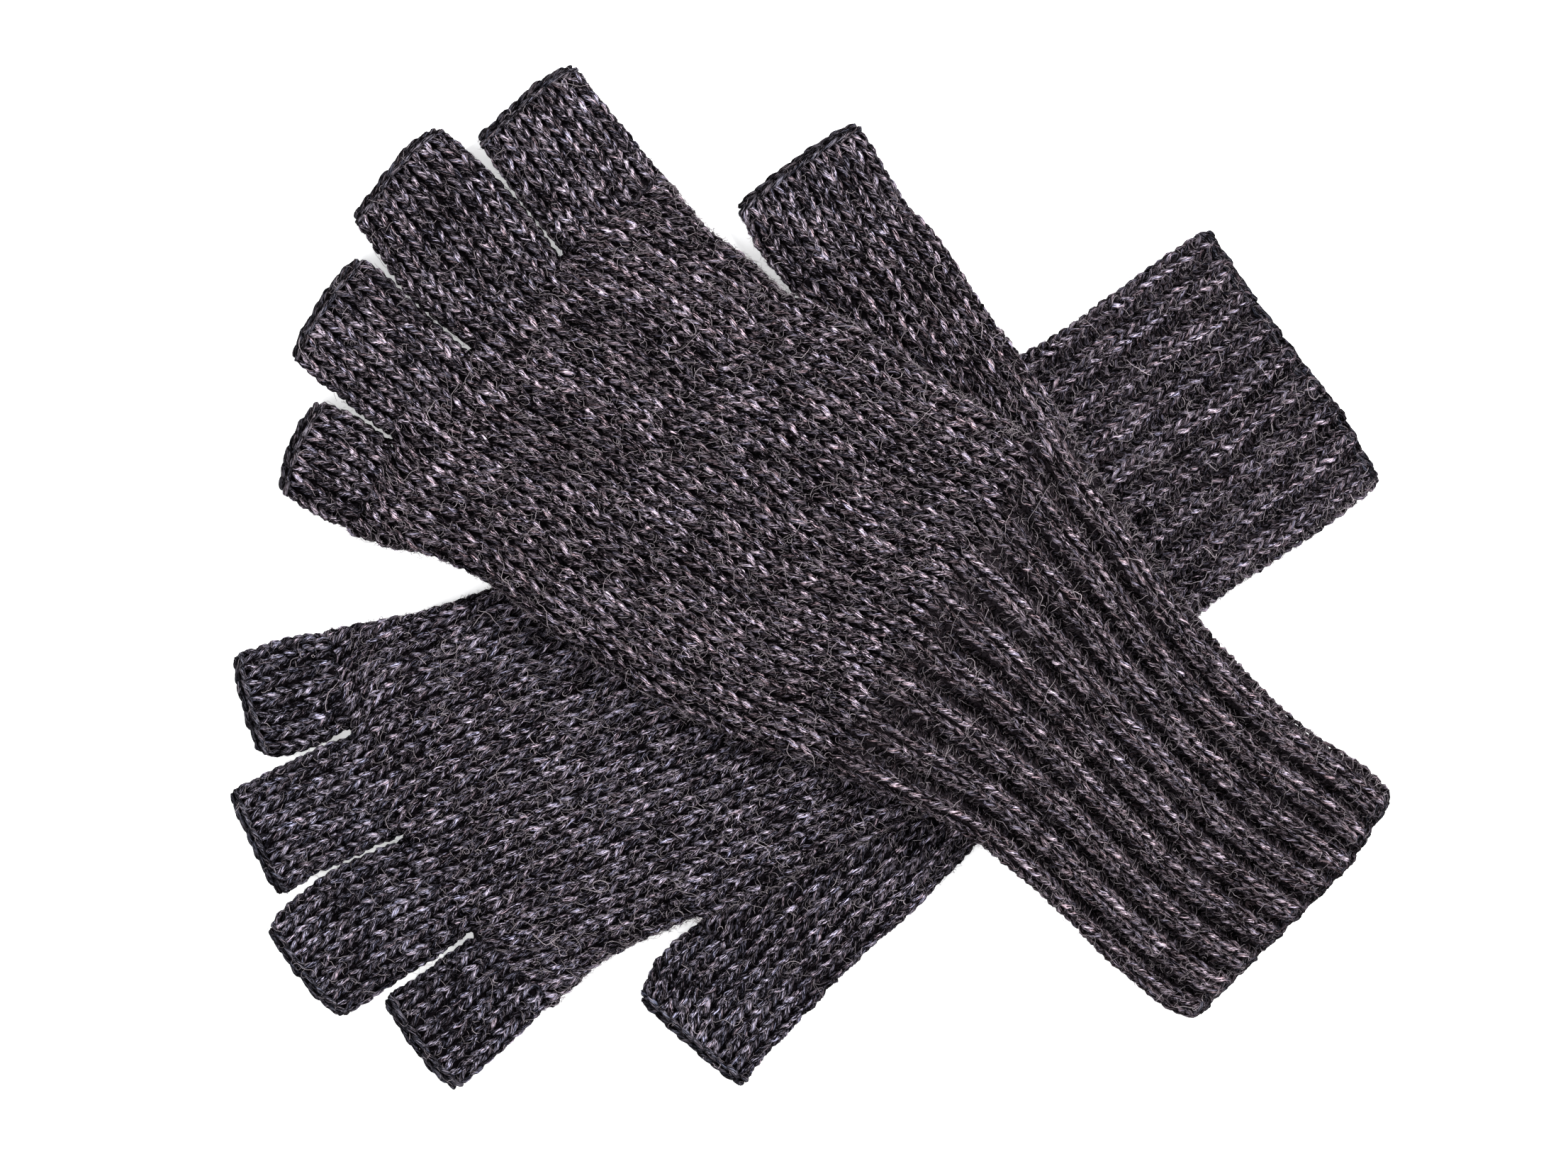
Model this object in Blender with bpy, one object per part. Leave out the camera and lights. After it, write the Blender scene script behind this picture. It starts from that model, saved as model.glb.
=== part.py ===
"""A pair of knitted half-finger gloves, lying flat with one glove across the other.

World frame: +X along the pair's longest extent, +Z up, the surface the pair lies on is Z = 0, and the
origin is under the centre of the pair. Lengths below are millimetres, and each glove is laid out in its
own frame: u runs from the cuff's open end towards the fingertips, v to the left of u, seen from above.
Each glove is a flattened knitted tube: two layers of fabric that join in a round fold along its edges.
"""

import math

import bpy
import numpy as np
from mathutils import Vector

MM = 0.001
FABRIC = 2.1  # thickness of the knitted fabric
LOFT = 8.9  # height of a flattened tube over both layers and the air between them
FOLD = LOFT / 2  # radius of the fold along every edge
GAP = 0.3  # clearance between sections
LIFT = LOFT + 0.35  # height of the upper glove's underside where it lies on the lower glove
DRAPE = 26.0  # distance over which the upper glove comes down to the table beside the lower one
EDGE_LENGTH = 2.6  # chain edge at each mouth, along the finger
EDGE_PROUD = 0.35  # how far that edge stands out from the tube
CUFF_EDGE_LENGTH = 2.4
FINGER_INSET = 0.3  # sideways clearance of each finger tube to its neighbour
THUMB_INSET = 0.7  # the same for the thumb, beside the hand's folded edge
CENTRE_X, CENTRE_Y = -0.0862, -0.3045  # centre of the pair in the layout frame

GLOVES = {
    "upper": {
        "origin": (93.6, -63.8),
        "heading": 141.0,
        "little_is_left": True,
        # edges of the ribbed cuff, from its open end to the start of the hand
        "cuff_left": [(0.3, 28.6), (6.3, 30.9), (21.8, 30.8), (42.2, 29.0), (61.6, 29.8), (87.5, 36.7)],
        "cuff_right": [(-1.2, -29.6), (6.0, -30.4), (22.6, -29.0), (48.9, -31.9), (68.6, -37.4), (96.2, -46.4)],
        # edge of the hand on the little finger's side
        "little_edge": [(87.5, 36.7), (107.0, 43.6), (118.7, 46.4), (141.8, 49.2), (158.7, 49.6), (170.9, 52.3), (183.4, 58.2), (189.0, 59.5)],
        # line where the palm meets the thumb's gusset, from the cuff to the thumb's crotch
        "gusset_line": [(95.4, -37.9), (101.0, -37.4), (112.4, -35.4), (122.2, -34.6), (135.4, -34.0), (149.7, -31.0)],
        # free edge between the thumb's crotch and the index finger
        "index_edge": [(149.7, -31.0), (160.3, -31.8), (171.8, -31.6), (185.0, -34.4)],
        # outer edge of the gusset, from the cuff to the thumb
        "thumb_edge": [(96.2, -46.4), (107.8, -49.8), (119.6, -53.0), (132.5, -57.7), (140.4, -59.5)],
        # roots of the fingers, from the little finger's outer edge to the index finger's
        "knuckles": [(189.0, 59.5), (192.1, 39.9), (191.3, 16.7), (188.7, -8.7), (185.0, -34.4)],
        # right and left side of each finger tube, from root to mouth
        "fingers": {
            "little": ([(192.1, 39.9), (202.2, 40.8), (209.0, 42.9)], [(189.0, 59.5), (195.6, 61.0), (203.2, 61.7)]),
            "ring": ([(191.3, 16.7), (207.0, 16.3), (214.0, 15.2), (220.0, 15.9)], [(192.1, 39.9), (202.9, 40.3), (218.1, 40.0)]),
            "middle": ([(188.7, -8.7), (205.2, -12.4), (219.0, -13.5), (224.0, -13.1)], [(191.3, 16.7), (207.7, 16.2), (214.6, 14.5), (226.1, 11.3)]),
            "index": ([(185.0, -34.4), (195.2, -36.1), (204.9, -38.2), (210.0, -39.0)], [(188.7, -8.7), (205.9, -12.9), (217.2, -15.8)]),
            "thumb": ([(140.4, -59.5), (147.2, -60.8), (155.4, -64.0), (159.7, -65.1)], [(149.7, -31.0), (155.6, -32.5), (161.0, -33.9), (168.7, -37.3)]),
        },
    },
    "lower": {
        "origin": (93.6, 42.5),
        "heading": -151.8,
        "little_is_left": False,
        "cuff_left": [(-2.6, 30.6), (13.1, 33.2), (39.4, 36.2), (70.2, 46.1), (88.0, 52.0)],
        "cuff_right": [(2.4, -30.2), (19.4, -28.1), (46.1, -25.2), (70.0, -26.4), (97.3, -28.7)],
        "little_edge": [(97.3, -28.7), (128.0, -31.4), (158.0, -34.4), (171.9, -36.6), (185.0, -40.7), (191.6, -42.7)],
        "gusset_line": [(89.0, 43.8), (101.0, 43.8), (112.4, 43.2), (122.2, 42.8), (135.4, 42.6), (152.5, 41.9)],
        "index_edge": [(152.5, 41.9), (162.2, 40.1), (173.6, 39.8), (186.8, 43.1)],
        "thumb_edge": [(88.0, 52.0), (99.8, 55.8), (113.6, 60.4), (123.9, 62.9), (137.6, 66.6), (142.0, 68.8)],
        "knuckles": [(191.6, -42.7), (194.8, -22.5), (196.1, 0.6), (192.6, 23.8), (186.8, 43.1)],
        "fingers": {
            "little": ([(191.6, -42.7), (200.5, -45.1), (208.1, -46.4)], [(194.8, -22.5), (207.7, -23.5), (213.4, -26.7)]),
            "ring": ([(194.8, -22.5), (208.5, -22.9), (222.4, -23.4)], [(196.1, 0.6), (211.9, -0.8), (221.8, -0.2)]),
            "middle": ([(196.1, 0.6), (212.1, -0.2), (221.6, 1.2), (227.9, 3.5)], [(192.6, 23.8), (206.1, 25.1), (212.6, 25.3), (222.1, 25.7)]),
            "index": ([(192.6, 23.8), (206.2, 25.8), (213.0, 26.1), (214.6, 26.5)], [(186.8, 43.1), (198.0, 45.8), (209.4, 48.6)]),
            "thumb": ([(152.5, 41.9), (156.8, 42.9), (164.9, 45.4), (170.4, 50.0)], [(142.0, 68.8), (149.1, 70.6), (154.8, 72.4), (159.4, 74.7)]),
        },
    },
}

WOOL = {
    "hand": (0.052, 0.047, 0.055, 1.0),
    "cuff": (0.047, 0.042, 0.050, 1.0),
    "edge": (0.060, 0.055, 0.062, 1.0),
    "finger": (0.050, 0.046, 0.053, 1.0),
}


def wool(name, colour):
    """Matt wool material."""
    material = bpy.data.materials.new(name)
    material.use_nodes = True
    shader = material.node_tree.nodes["Principled BSDF"]
    shader.inputs["Base Color"].default_value = colour
    shader.inputs["Roughness"].default_value = 0.92
    shader.inputs["Metallic"].default_value = 0.0
    return material


def to_world(glove, point):
    """A point of the glove's own frame, in world millimetres."""
    a = math.radians(glove["heading"])
    u, v = point
    x = glove["origin"][0] + u * math.cos(a) - v * math.sin(a)
    y = glove["origin"][1] + u * math.sin(a) + v * math.cos(a)
    return np.array([x - CENTRE_X, y - CENTRE_Y])


def world_line(glove, points):
    return np.array([to_world(glove, p) for p in points])


def smooth_line(points, count):
    """count points evenly spaced along a smooth curve through the given points."""
    points = np.asarray(points, float)
    if len(points) == 2:
        f = np.linspace(0.0, 1.0, count)[:, None]
        return points[0] * (1 - f) + points[1] * f
    before = 2 * points[0] - points[1]
    after = 2 * points[-1] - points[-2]
    p = np.vstack([before, points, after])
    fine = []
    for i in range(1, len(p) - 2):
        for t in np.linspace(0.0, 1.0, 12, endpoint=False):
            fine.append(
                0.5
                * (
                    2 * p[i]
                    + (p[i + 1] - p[i - 1]) * t
                    + (2 * p[i - 1] - 5 * p[i] + 4 * p[i + 1] - p[i + 2]) * t * t
                    + (3 * p[i] - p[i - 1] - 3 * p[i + 1] + p[i + 2]) * t**3
                )
            )
    fine.append(points[-1])
    fine = np.array(fine)
    s = np.concatenate([[0], np.cumsum(np.linalg.norm(np.diff(fine, axis=0), axis=1))])
    at = np.linspace(0, s[-1], count)
    return np.stack([np.interp(at, s, fine[:, k]) for k in range(2)], axis=1)


def point_on(line, fraction):
    """The point at this fraction of a line of evenly spaced points."""
    at = fraction * (len(line) - 1)
    i = min(int(at), len(line) - 2)
    return line[i] * (1 - (at - i)) + line[i + 1] * (at - i)


def nearest_on(point, line):
    """The nearest point of a line of points, and its distance."""
    a, b = line[:-1], line[1:]
    ab = b - a
    t = np.clip(((point - a) * ab).sum(1) / np.maximum((ab * ab).sum(1), 1e-12), 0, 1)
    at = a + ab * t[:, None]
    d = np.linalg.norm(at - point, axis=1)
    k = int(d.argmin())
    return at[k], float(d[k])


def inside(point, outline):
    x, y = point
    x0, y0 = outline[:, 0], outline[:, 1]
    x1, y1 = np.roll(x0, -1), np.roll(y0, -1)
    crosses = ((y0 > y) != (y1 > y)) & (x < (x1 - x0) * (y - y0) / np.where(y1 == y0, 1e-12, y1 - y0) + x0)
    return bool(crosses.sum() % 2)


def glove_outline(glove):
    """The closed outline of a glove, seen from above, in world millimetres."""
    f = glove["fingers"]
    low, high = (1, 0) if glove["little_is_left"] else (0, 1)
    little_cuff = glove["cuff_left"] if glove["little_is_left"] else glove["cuff_right"]
    thumb_cuff = glove["cuff_right"] if glove["little_is_left"] else glove["cuff_left"]
    points = list(little_cuff) + list(glove["little_edge"])
    for name in ("little", "ring", "middle", "index"):
        points += list(f[name][low]) + list(reversed(f[name][high]))
    points += list(reversed(glove["index_edge"]))
    points += list(f["thumb"][low]) + list(reversed(f["thumb"][high]))
    points += list(reversed(glove["thumb_edge"])) + list(reversed(thumb_cuff))
    return world_line(glove, points)


LOWER_OUTLINE = glove_outline(GLOVES["lower"])
LOWER_LINE = np.vstack([LOWER_OUTLINE, LOWER_OUTLINE[:1]])


def base_height(which, point):
    """Height of the glove's underside over the table at this place."""
    if which == "lower":
        return 0.0
    if inside(point, LOWER_OUTLINE):
        return LIFT
    t = min(max((nearest_on(point, LOWER_LINE)[1] - 2.5) / DRAPE, 0.0), 1.0)
    return LIFT * (1 - t * t * (3 - 2 * t))


class Cloth:
    """A sheet of fabric: each point has a place on the outer face and one on the inner face under it."""

    def __init__(self):
        self.outer, self.inner, self.faces, self.known = [], [], [], {}

    def point(self, outer, inner):
        """Adds a point, or finds it where two layers meet along a fold."""
        key = tuple(round(c, 3) for c in outer)
        if key not in self.known:
            self.known[key] = len(self.outer)
            self.outer.append(tuple(outer))
            self.inner.append(tuple(inner))
        return self.known[key]

    def face(self, *corners):
        loop = [c for i, c in enumerate(corners) if c != corners[i - 1]]
        if len(loop) > 2:
            self.faces.append(tuple(loop))

    def solid(self, name, origin, material, flip=False):
        """The closed body between the two faces, with a rim along every open edge."""
        faces = [f[::-1] for f in self.faces] if flip else self.faces
        n = len(self.outer)
        directed = {(f[i - 1], f[i]) for f in faces for i in range(len(f))}
        rims = [(b, a, a + n, b + n) for a, b in sorted(directed) if (b, a) not in directed]
        inside_faces = [tuple(c + n for c in reversed(f)) for f in faces]
        return new_object(name, self.outer + self.inner, faces + inside_faces + rims, origin, material)


def fold_profile(steps):
    """(inset, height, share) from a folded edge up to the flat: share is how far the fabric faces sideways."""
    angles = [math.pi / 2 * k / steps for k in range(steps + 1)]
    return [(1 - math.cos(a), math.sin(a), math.cos(a)) for a in angles]


def section(which, left, right, straight, steps=3, proud=0.0):
    """Points round a flattened tube between two edge points, over the top first: (outer, inner) pairs."""
    across = right - left
    width = float(np.linalg.norm(across)) + 2 * proud
    e = across / np.linalg.norm(across)
    left = left - e * proud
    radius = FOLD + proud
    profile = fold_profile(steps)
    flat = [(d, 1.0, 0.0) for d in np.linspace(radius, width - radius, straight + 2)[1:-1]]
    marks = [(radius * a, h, k) for a, h, k in profile] + flat
    marks += [(width - radius * a, h, -k) for a, h, k in reversed(profile)]
    loops = []
    for side in (1, -1):
        for d, h, k in marks:
            p = left + e * d
            q = p + e * (FABRIC + proud) * k
            middle = base_height(which, p) + FOLD
            up = side * radius * h
            loops.append(((p[0], p[1], max(middle + up, 0.0)), (q[0], q[1], middle + side * (FOLD - FABRIC) * h)))
    n = len(marks)
    return loops[:n] + loops[n + 1 : 2 * n - 1][::-1]


def new_object(name, verts, faces, origin, material):
    """A mesh object whose vertices are given in world millimetres, placed at its origin."""
    mesh = bpy.data.meshes.new(name)
    o = Vector(origin)
    mesh.from_pydata([tuple((Vector(v) - o) * MM) for v in verts], [], faces)
    mesh.materials.append(material)
    mesh.update()
    mesh.shade_smooth()
    mesh.set_sharp_from_angle(angle=math.radians(50))
    obj = bpy.data.objects.new(name, mesh)
    obj.location = o * MM
    bpy.context.scene.collection.objects.link(obj)
    return obj


def tube(name, which, lefts, rights, straight, origin, material, proud=None, steps=3):
    """A flattened tube through rows of left and right edge points, open at both ends."""
    proud = proud or [0.0] * len(lefts)
    cloth = Cloth()
    loops = [
        [cloth.point(*pair) for pair in section(which, a, b, straight, steps, p)]
        for a, b, p in zip(lefts, rights, proud)
    ]
    for near, far in zip(loops[:-1], loops[1:]):
        for i in range(len(near)):
            k = (i + 1) % len(near)
            cloth.face(near[i], near[k], far[k], far[i])
    return cloth.solid(name, origin, material)


def hand(name, which, glove, material):
    """The palm and back of the hand with the thumb's gusset: open at the cuff, the knuckles and the thumb."""
    little = smooth_line(world_line(glove, glove["little_edge"]), 60)
    gusset = smooth_line(world_line(glove, glove["gusset_line"]), 60)
    index = smooth_line(world_line(glove, glove["index_edge"]), 30)
    outer = smooth_line(world_line(glove, glove["thumb_edge"]), 60)
    free_edges = [little, index, outer]
    knuckles = world_line(glove, glove["knuckles"])
    reach = float(np.linalg.norm(np.diff(gusset, axis=0), axis=1).sum())
    reach_index = float(np.linalg.norm(np.diff(index, axis=0), axis=1).sum())
    total = reach + reach_index
    split = reach / total
    a = math.radians(glove["heading"])
    forward = np.array([math.cos(a), math.sin(a)])

    def inner_edge(s):
        return point_on(gusset, s / split) if s <= split else point_on(index, (s - split) / (1 - split))

    chord = knuckles[-1] - knuckles[0]
    length2 = float((chord * chord).sum())
    crotches = [float(((k - knuckles[0]) * chord).sum() / length2) for k in knuckles]
    bulge = [float(((k - knuckles[0] - q * chord) * forward).sum()) for k, q in zip(knuckles, crotches)]

    rows = [split * f for f in (0.0, 0.14, 0.28, 0.42, 0.56, 0.70, 0.82)]
    rows += [split - d / total for d in (5.0, 2.8, 1.2)] + [split]
    rows += [split + (1 - split) * f for f in (0.35, 0.7, 1.0)]
    width = float(np.linalg.norm(chord))
    near = [FOLD * a / width for a, _, _ in fold_profile(3)]
    columns = near + crotches[1:-1] + [0.5 * (crotches[k] + crotches[k + 1]) for k in range(4)]
    columns = sorted(columns + [1 - q for q in near])
    gusset_columns = (0.0, 0.05, 0.1, 0.17, 0.5, 0.83, 0.9, 0.95, 1.0)
    cloth = Cloth()

    def place(p, side, rim):
        """A point of the top (side 1) or bottom layer; on a rim its inner point stays in the rim's plane."""
        edge, d = min((nearest_on(p, line) for line in free_edges), key=lambda found: found[1])
        d = min(d, FOLD)
        sideways = (FOLD - d) / FOLD
        h = math.sqrt(max(1 - sideways * sideways, 0.0))
        q = np.array(p)
        if sideways > 0:
            if d > 1e-6:
                away = (p - edge) / np.linalg.norm(p - edge)
            else:
                away = np.array([0.0, 0.0])
            if rim is not None:
                along = rim if d < 1e-6 or float(rim @ away) >= 0 else -rim
                if d < 1e-6:
                    middle = 0.5 * (outline_middle[0] + outline_middle[1])
                    along = rim if float(rim @ (middle - p)) > 0 else -rim
                away = along
            elif d <= 1e-6:
                away = inward_at(p)
            q = p + away * FABRIC * sideways
        middle = base_height(which, p) + FOLD
        up = side * FOLD * h
        return (p[0], p[1], max(middle + up, 0.0)), (q[0], q[1], middle + side * (FOLD - FABRIC) * h)

    def inward_at(p):
        """Away from the folded edge that this point lies on, into the hand."""
        best = None
        for line, sign in ((little, 1), (index, -1), (outer, -1)):
            a_, b_ = line[:-1], line[1:]
            ab = b_ - a_
            t = np.clip(((p - a_) * ab).sum(1) / np.maximum((ab * ab).sum(1), 1e-12), 0, 1)
            d = np.linalg.norm(a_ + ab * t[:, None] - p, axis=1)
            k = int(d.argmin())
            if best is None or d[k] < best[0]:
                along = ab[k] / np.linalg.norm(ab[k])
                right = np.array([along[1], -along[0]])
                best = (d[k], right * sign * (1 if glove["little_is_left"] else -1))
        return best[1]

    outline_middle = [point_on(little, 0.5), inner_edge(0.5)]

    def add_patch(grid, rims):
        """grid[j][i] are plan points: the top layer, and the bottom layer under it."""
        for side in (1, -1):
            index_of = [[cloth.point(*place(p, side, rims.get(j))) for p in row] for j, row in enumerate(grid)]
            for near_row, far_row in zip(index_of[:-1], index_of[1:]):
                for i in range(len(near_row) - 1):
                    quad = (near_row[i], near_row[i + 1], far_row[i + 1], far_row[i])
                    cloth.face(*(quad if side > 0 else quad[::-1]))

    def row_points(s):
        start, end = point_on(little, s), inner_edge(s)
        t = min(max((s - 0.45) / 0.55, 0.0), 1.0)
        ease = t * t * (3 - 2 * t)
        return [start + (end - start) * q + forward * (float(np.interp(q, crotches, bulge)) * ease) for q in columns]

    def unit(v):
        return v / np.linalg.norm(v)

    palm = [row_points(s) for s in rows]
    across = unit(outer[0] - little[0])
    add_patch(palm, {0: across, len(palm) - 1: unit(chord)})
    gusset_rows = []
    for s in rows:
        if s <= split + 1e-9:
            start, end = inner_edge(s), point_on(outer, s / split)
            gusset_rows.append([start + (end - start) * q for q in gusset_columns])
    add_patch(gusset_rows, {0: across, len(gusset_rows) - 1: unit(outer[-1] - gusset[-1])})
    return cloth.solid(name, (0, 0, 0), material, flip=not glove["little_is_left"])


def make_finger(which, glove, finger, cloth, edge_cloth, parent):
    """A finger or thumb tube and the chain edge round its mouth. Its origin is on the line it bends about."""
    right, left = (world_line(glove, side) for side in glove["fingers"][finger])
    mid = 0.5 * (right[0] + left[0])
    base_line = (right[0] - left[0]) / np.linalg.norm(right[0] - left[0])
    out = np.array([-base_line[1], base_line[0]])
    if float((0.5 * (right[-1] + left[-1]) - mid) @ out) < 0:
        out = -out
    inward = -base_line
    right, left = smooth_line(right, 40), smooth_line(left, 40)
    inset = THUMB_INSET if finger == "thumb" else FINGER_INSET
    rights = right + inward * inset
    lefts = left - inward * inset
    length = 0.5 * float(
        np.linalg.norm(np.diff(right, axis=0), axis=1).sum() + np.linalg.norm(np.diff(left, axis=0), axis=1).sum()
    )
    split = 1 - EDGE_LENGTH / length
    steps = [0.0, 0.2, 0.45, 0.7, split - GAP / length]
    hinge = (mid[0], mid[1], max(base_height(which, p) for p in (left[0], mid, right[0])) + LOFT)
    start = out * GAP
    rows = [(point_on(lefts, f) + start * (1 - f), point_on(rights, f) + start * (1 - f)) for f in steps]
    body = tube(
        f"{which}_{finger}_tube" if finger == "thumb" else f"{which}_{finger}_finger",
        which, [r[0] for r in rows], [r[1] for r in rows], 3, hinge, cloth,
    )
    ends = [split, 0.5 * (split + 1), 1.0]
    rows = [(point_on(lefts, f), point_on(rights, f)) for f in ends]
    swell = [0.0, EDGE_PROUD * 0.5, 0.0]
    edge = tube(
        f"{which}_{finger}_edge", which, [r[0] for r in rows], [r[1] for r in rows], 3, hinge, edge_cloth, swell,
    )
    for obj in (body, edge):
        obj.parent = parent
        obj.matrix_parent_inverse = parent.matrix_world.inverted()


def build_glove(which, materials):
    glove = GLOVES[which]
    holder = bpy.data.objects.new(f"{which}_glove", None)
    bpy.context.scene.collection.objects.link(holder)
    cuff_left = world_line(glove, glove["cuff_left"])
    cuff_right = world_line(glove, glove["cuff_right"])
    body = hand(f"{which}_hand", which, glove, materials["hand"])

    # the cuff stops short of the hand by the clearance, and ends in its cast-on edge
    lefts, rights = smooth_line(cuff_left, 80), smooth_line(cuff_right, 80)
    length = 0.5 * float(
        np.linalg.norm(np.diff(lefts, axis=0), axis=1).sum() + np.linalg.norm(np.diff(rights, axis=0), axis=1).sum()
    )
    start, end = CUFF_EDGE_LENGTH / length, 1 - GAP / length
    junction = 0.5 * (cuff_left[-1] + cuff_right[-1])
    bend = (junction[0], junction[1], base_height(which, junction) + LOFT)
    count = 11 if which == "upper" else 6
    steps = [start + GAP / length + (end - start - GAP / length) * k / (count - 1) for k in range(count)]
    cuff = tube(
        f"{which}_cuff", which,
        [point_on(lefts, f) for f in steps], [point_on(rights, f) for f in steps],
        7 if which == "upper" else 3, bend, materials["cuff"],
    )
    steps = [0.0, 0.5 * start, start]
    edge = tube(
        f"{which}_cuff_edge", which,
        [point_on(lefts, f) for f in steps], [point_on(rights, f) for f in steps],
        3, bend, materials["edge"], [0.0, EDGE_PROUD * 0.5, 0.0],
    )
    for obj in (body, cuff, edge):
        obj.parent = holder
    for finger in ("index", "middle", "ring", "little", "thumb"):
        make_finger(which, glove, finger, materials["finger"], materials["edge"], holder)


def main():
    for obj in list(bpy.data.objects):
        bpy.data.objects.remove(obj, do_unlink=True)
    materials = {name: wool(f"{name}_wool", colour) for name, colour in WOOL.items()}
    for which in ("lower", "upper"):
        build_glove(which, materials)


main()
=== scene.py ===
"""The looks of the pair of knitted half-finger gloves, stitch by stitch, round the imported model."""

import math

import bpy
import numpy as np
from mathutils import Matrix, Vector


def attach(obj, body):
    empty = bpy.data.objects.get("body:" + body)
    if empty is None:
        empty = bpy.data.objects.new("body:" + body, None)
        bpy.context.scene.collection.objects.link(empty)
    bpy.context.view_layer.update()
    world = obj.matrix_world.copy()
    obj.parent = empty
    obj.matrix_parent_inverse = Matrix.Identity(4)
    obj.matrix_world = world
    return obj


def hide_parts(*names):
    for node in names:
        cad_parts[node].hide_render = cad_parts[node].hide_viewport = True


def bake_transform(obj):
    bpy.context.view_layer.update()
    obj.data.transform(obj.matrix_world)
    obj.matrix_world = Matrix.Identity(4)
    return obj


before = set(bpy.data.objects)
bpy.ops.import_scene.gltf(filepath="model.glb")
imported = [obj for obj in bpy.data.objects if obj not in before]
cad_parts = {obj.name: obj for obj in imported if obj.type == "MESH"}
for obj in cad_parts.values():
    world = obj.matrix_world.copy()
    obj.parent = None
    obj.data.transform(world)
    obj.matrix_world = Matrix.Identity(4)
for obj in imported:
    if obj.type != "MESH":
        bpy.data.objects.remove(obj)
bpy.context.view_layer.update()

MM = 0.001
PITCH_W = 3.09  # width of a stitch in the hand
PITCH_C = 2.68  # height of a stitch
PITCH_CUFF = 2.27  # and in the cuff
LOOP_HEIGHT = 1.72  # height of a loop, in courses
LOOP_SWAY = 0.238  # how far a leg leans, in wales
PITCH_FINGER = 2.46  # the finger tubes' courses
GATHER = 0.055  # how far both legs of a V draw together, which opens a groove between the wales
CUFF_SWAY = {"upper": 0.20, "lower": 0.30}  # and in the ribs
DEPTH = 0.56  # half the distance between the loops' front and back
R_FLAT, R_SIDE = 0.50, 0.61  # the yarn's radii, through and along the fabric
SKIN = DEPTH + R_FLAT  # half the fabric's thickness
PROUD = 0.16  # the legs that lean right, seen from the cuff, stand this far proud and the others lie as far back
TWIST = 0.55  # ply twist, radians a millimetre
R_FOLD = 1.65  # radius of the fabric's middle round a fold
LOFT = 8.9
CROWN, CUFF_CROWN = 3.1, 2.3
LIFT = LOFT + 0.35
DRAPE = 26.0
CENTRE_X, CENTRE_Y = -0.0862, -0.3045
TABLE = 0.02 * MM
RIM = 2.2  # width of a bound edge
VALLEY = {"upper": 1.7, "lower": 1.15}  # depth of the purl wale between two ribs
SHORT_HAIRS, LONG_HAIRS = 66.0, 3.2  # loose hairs to a square centimetre

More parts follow.
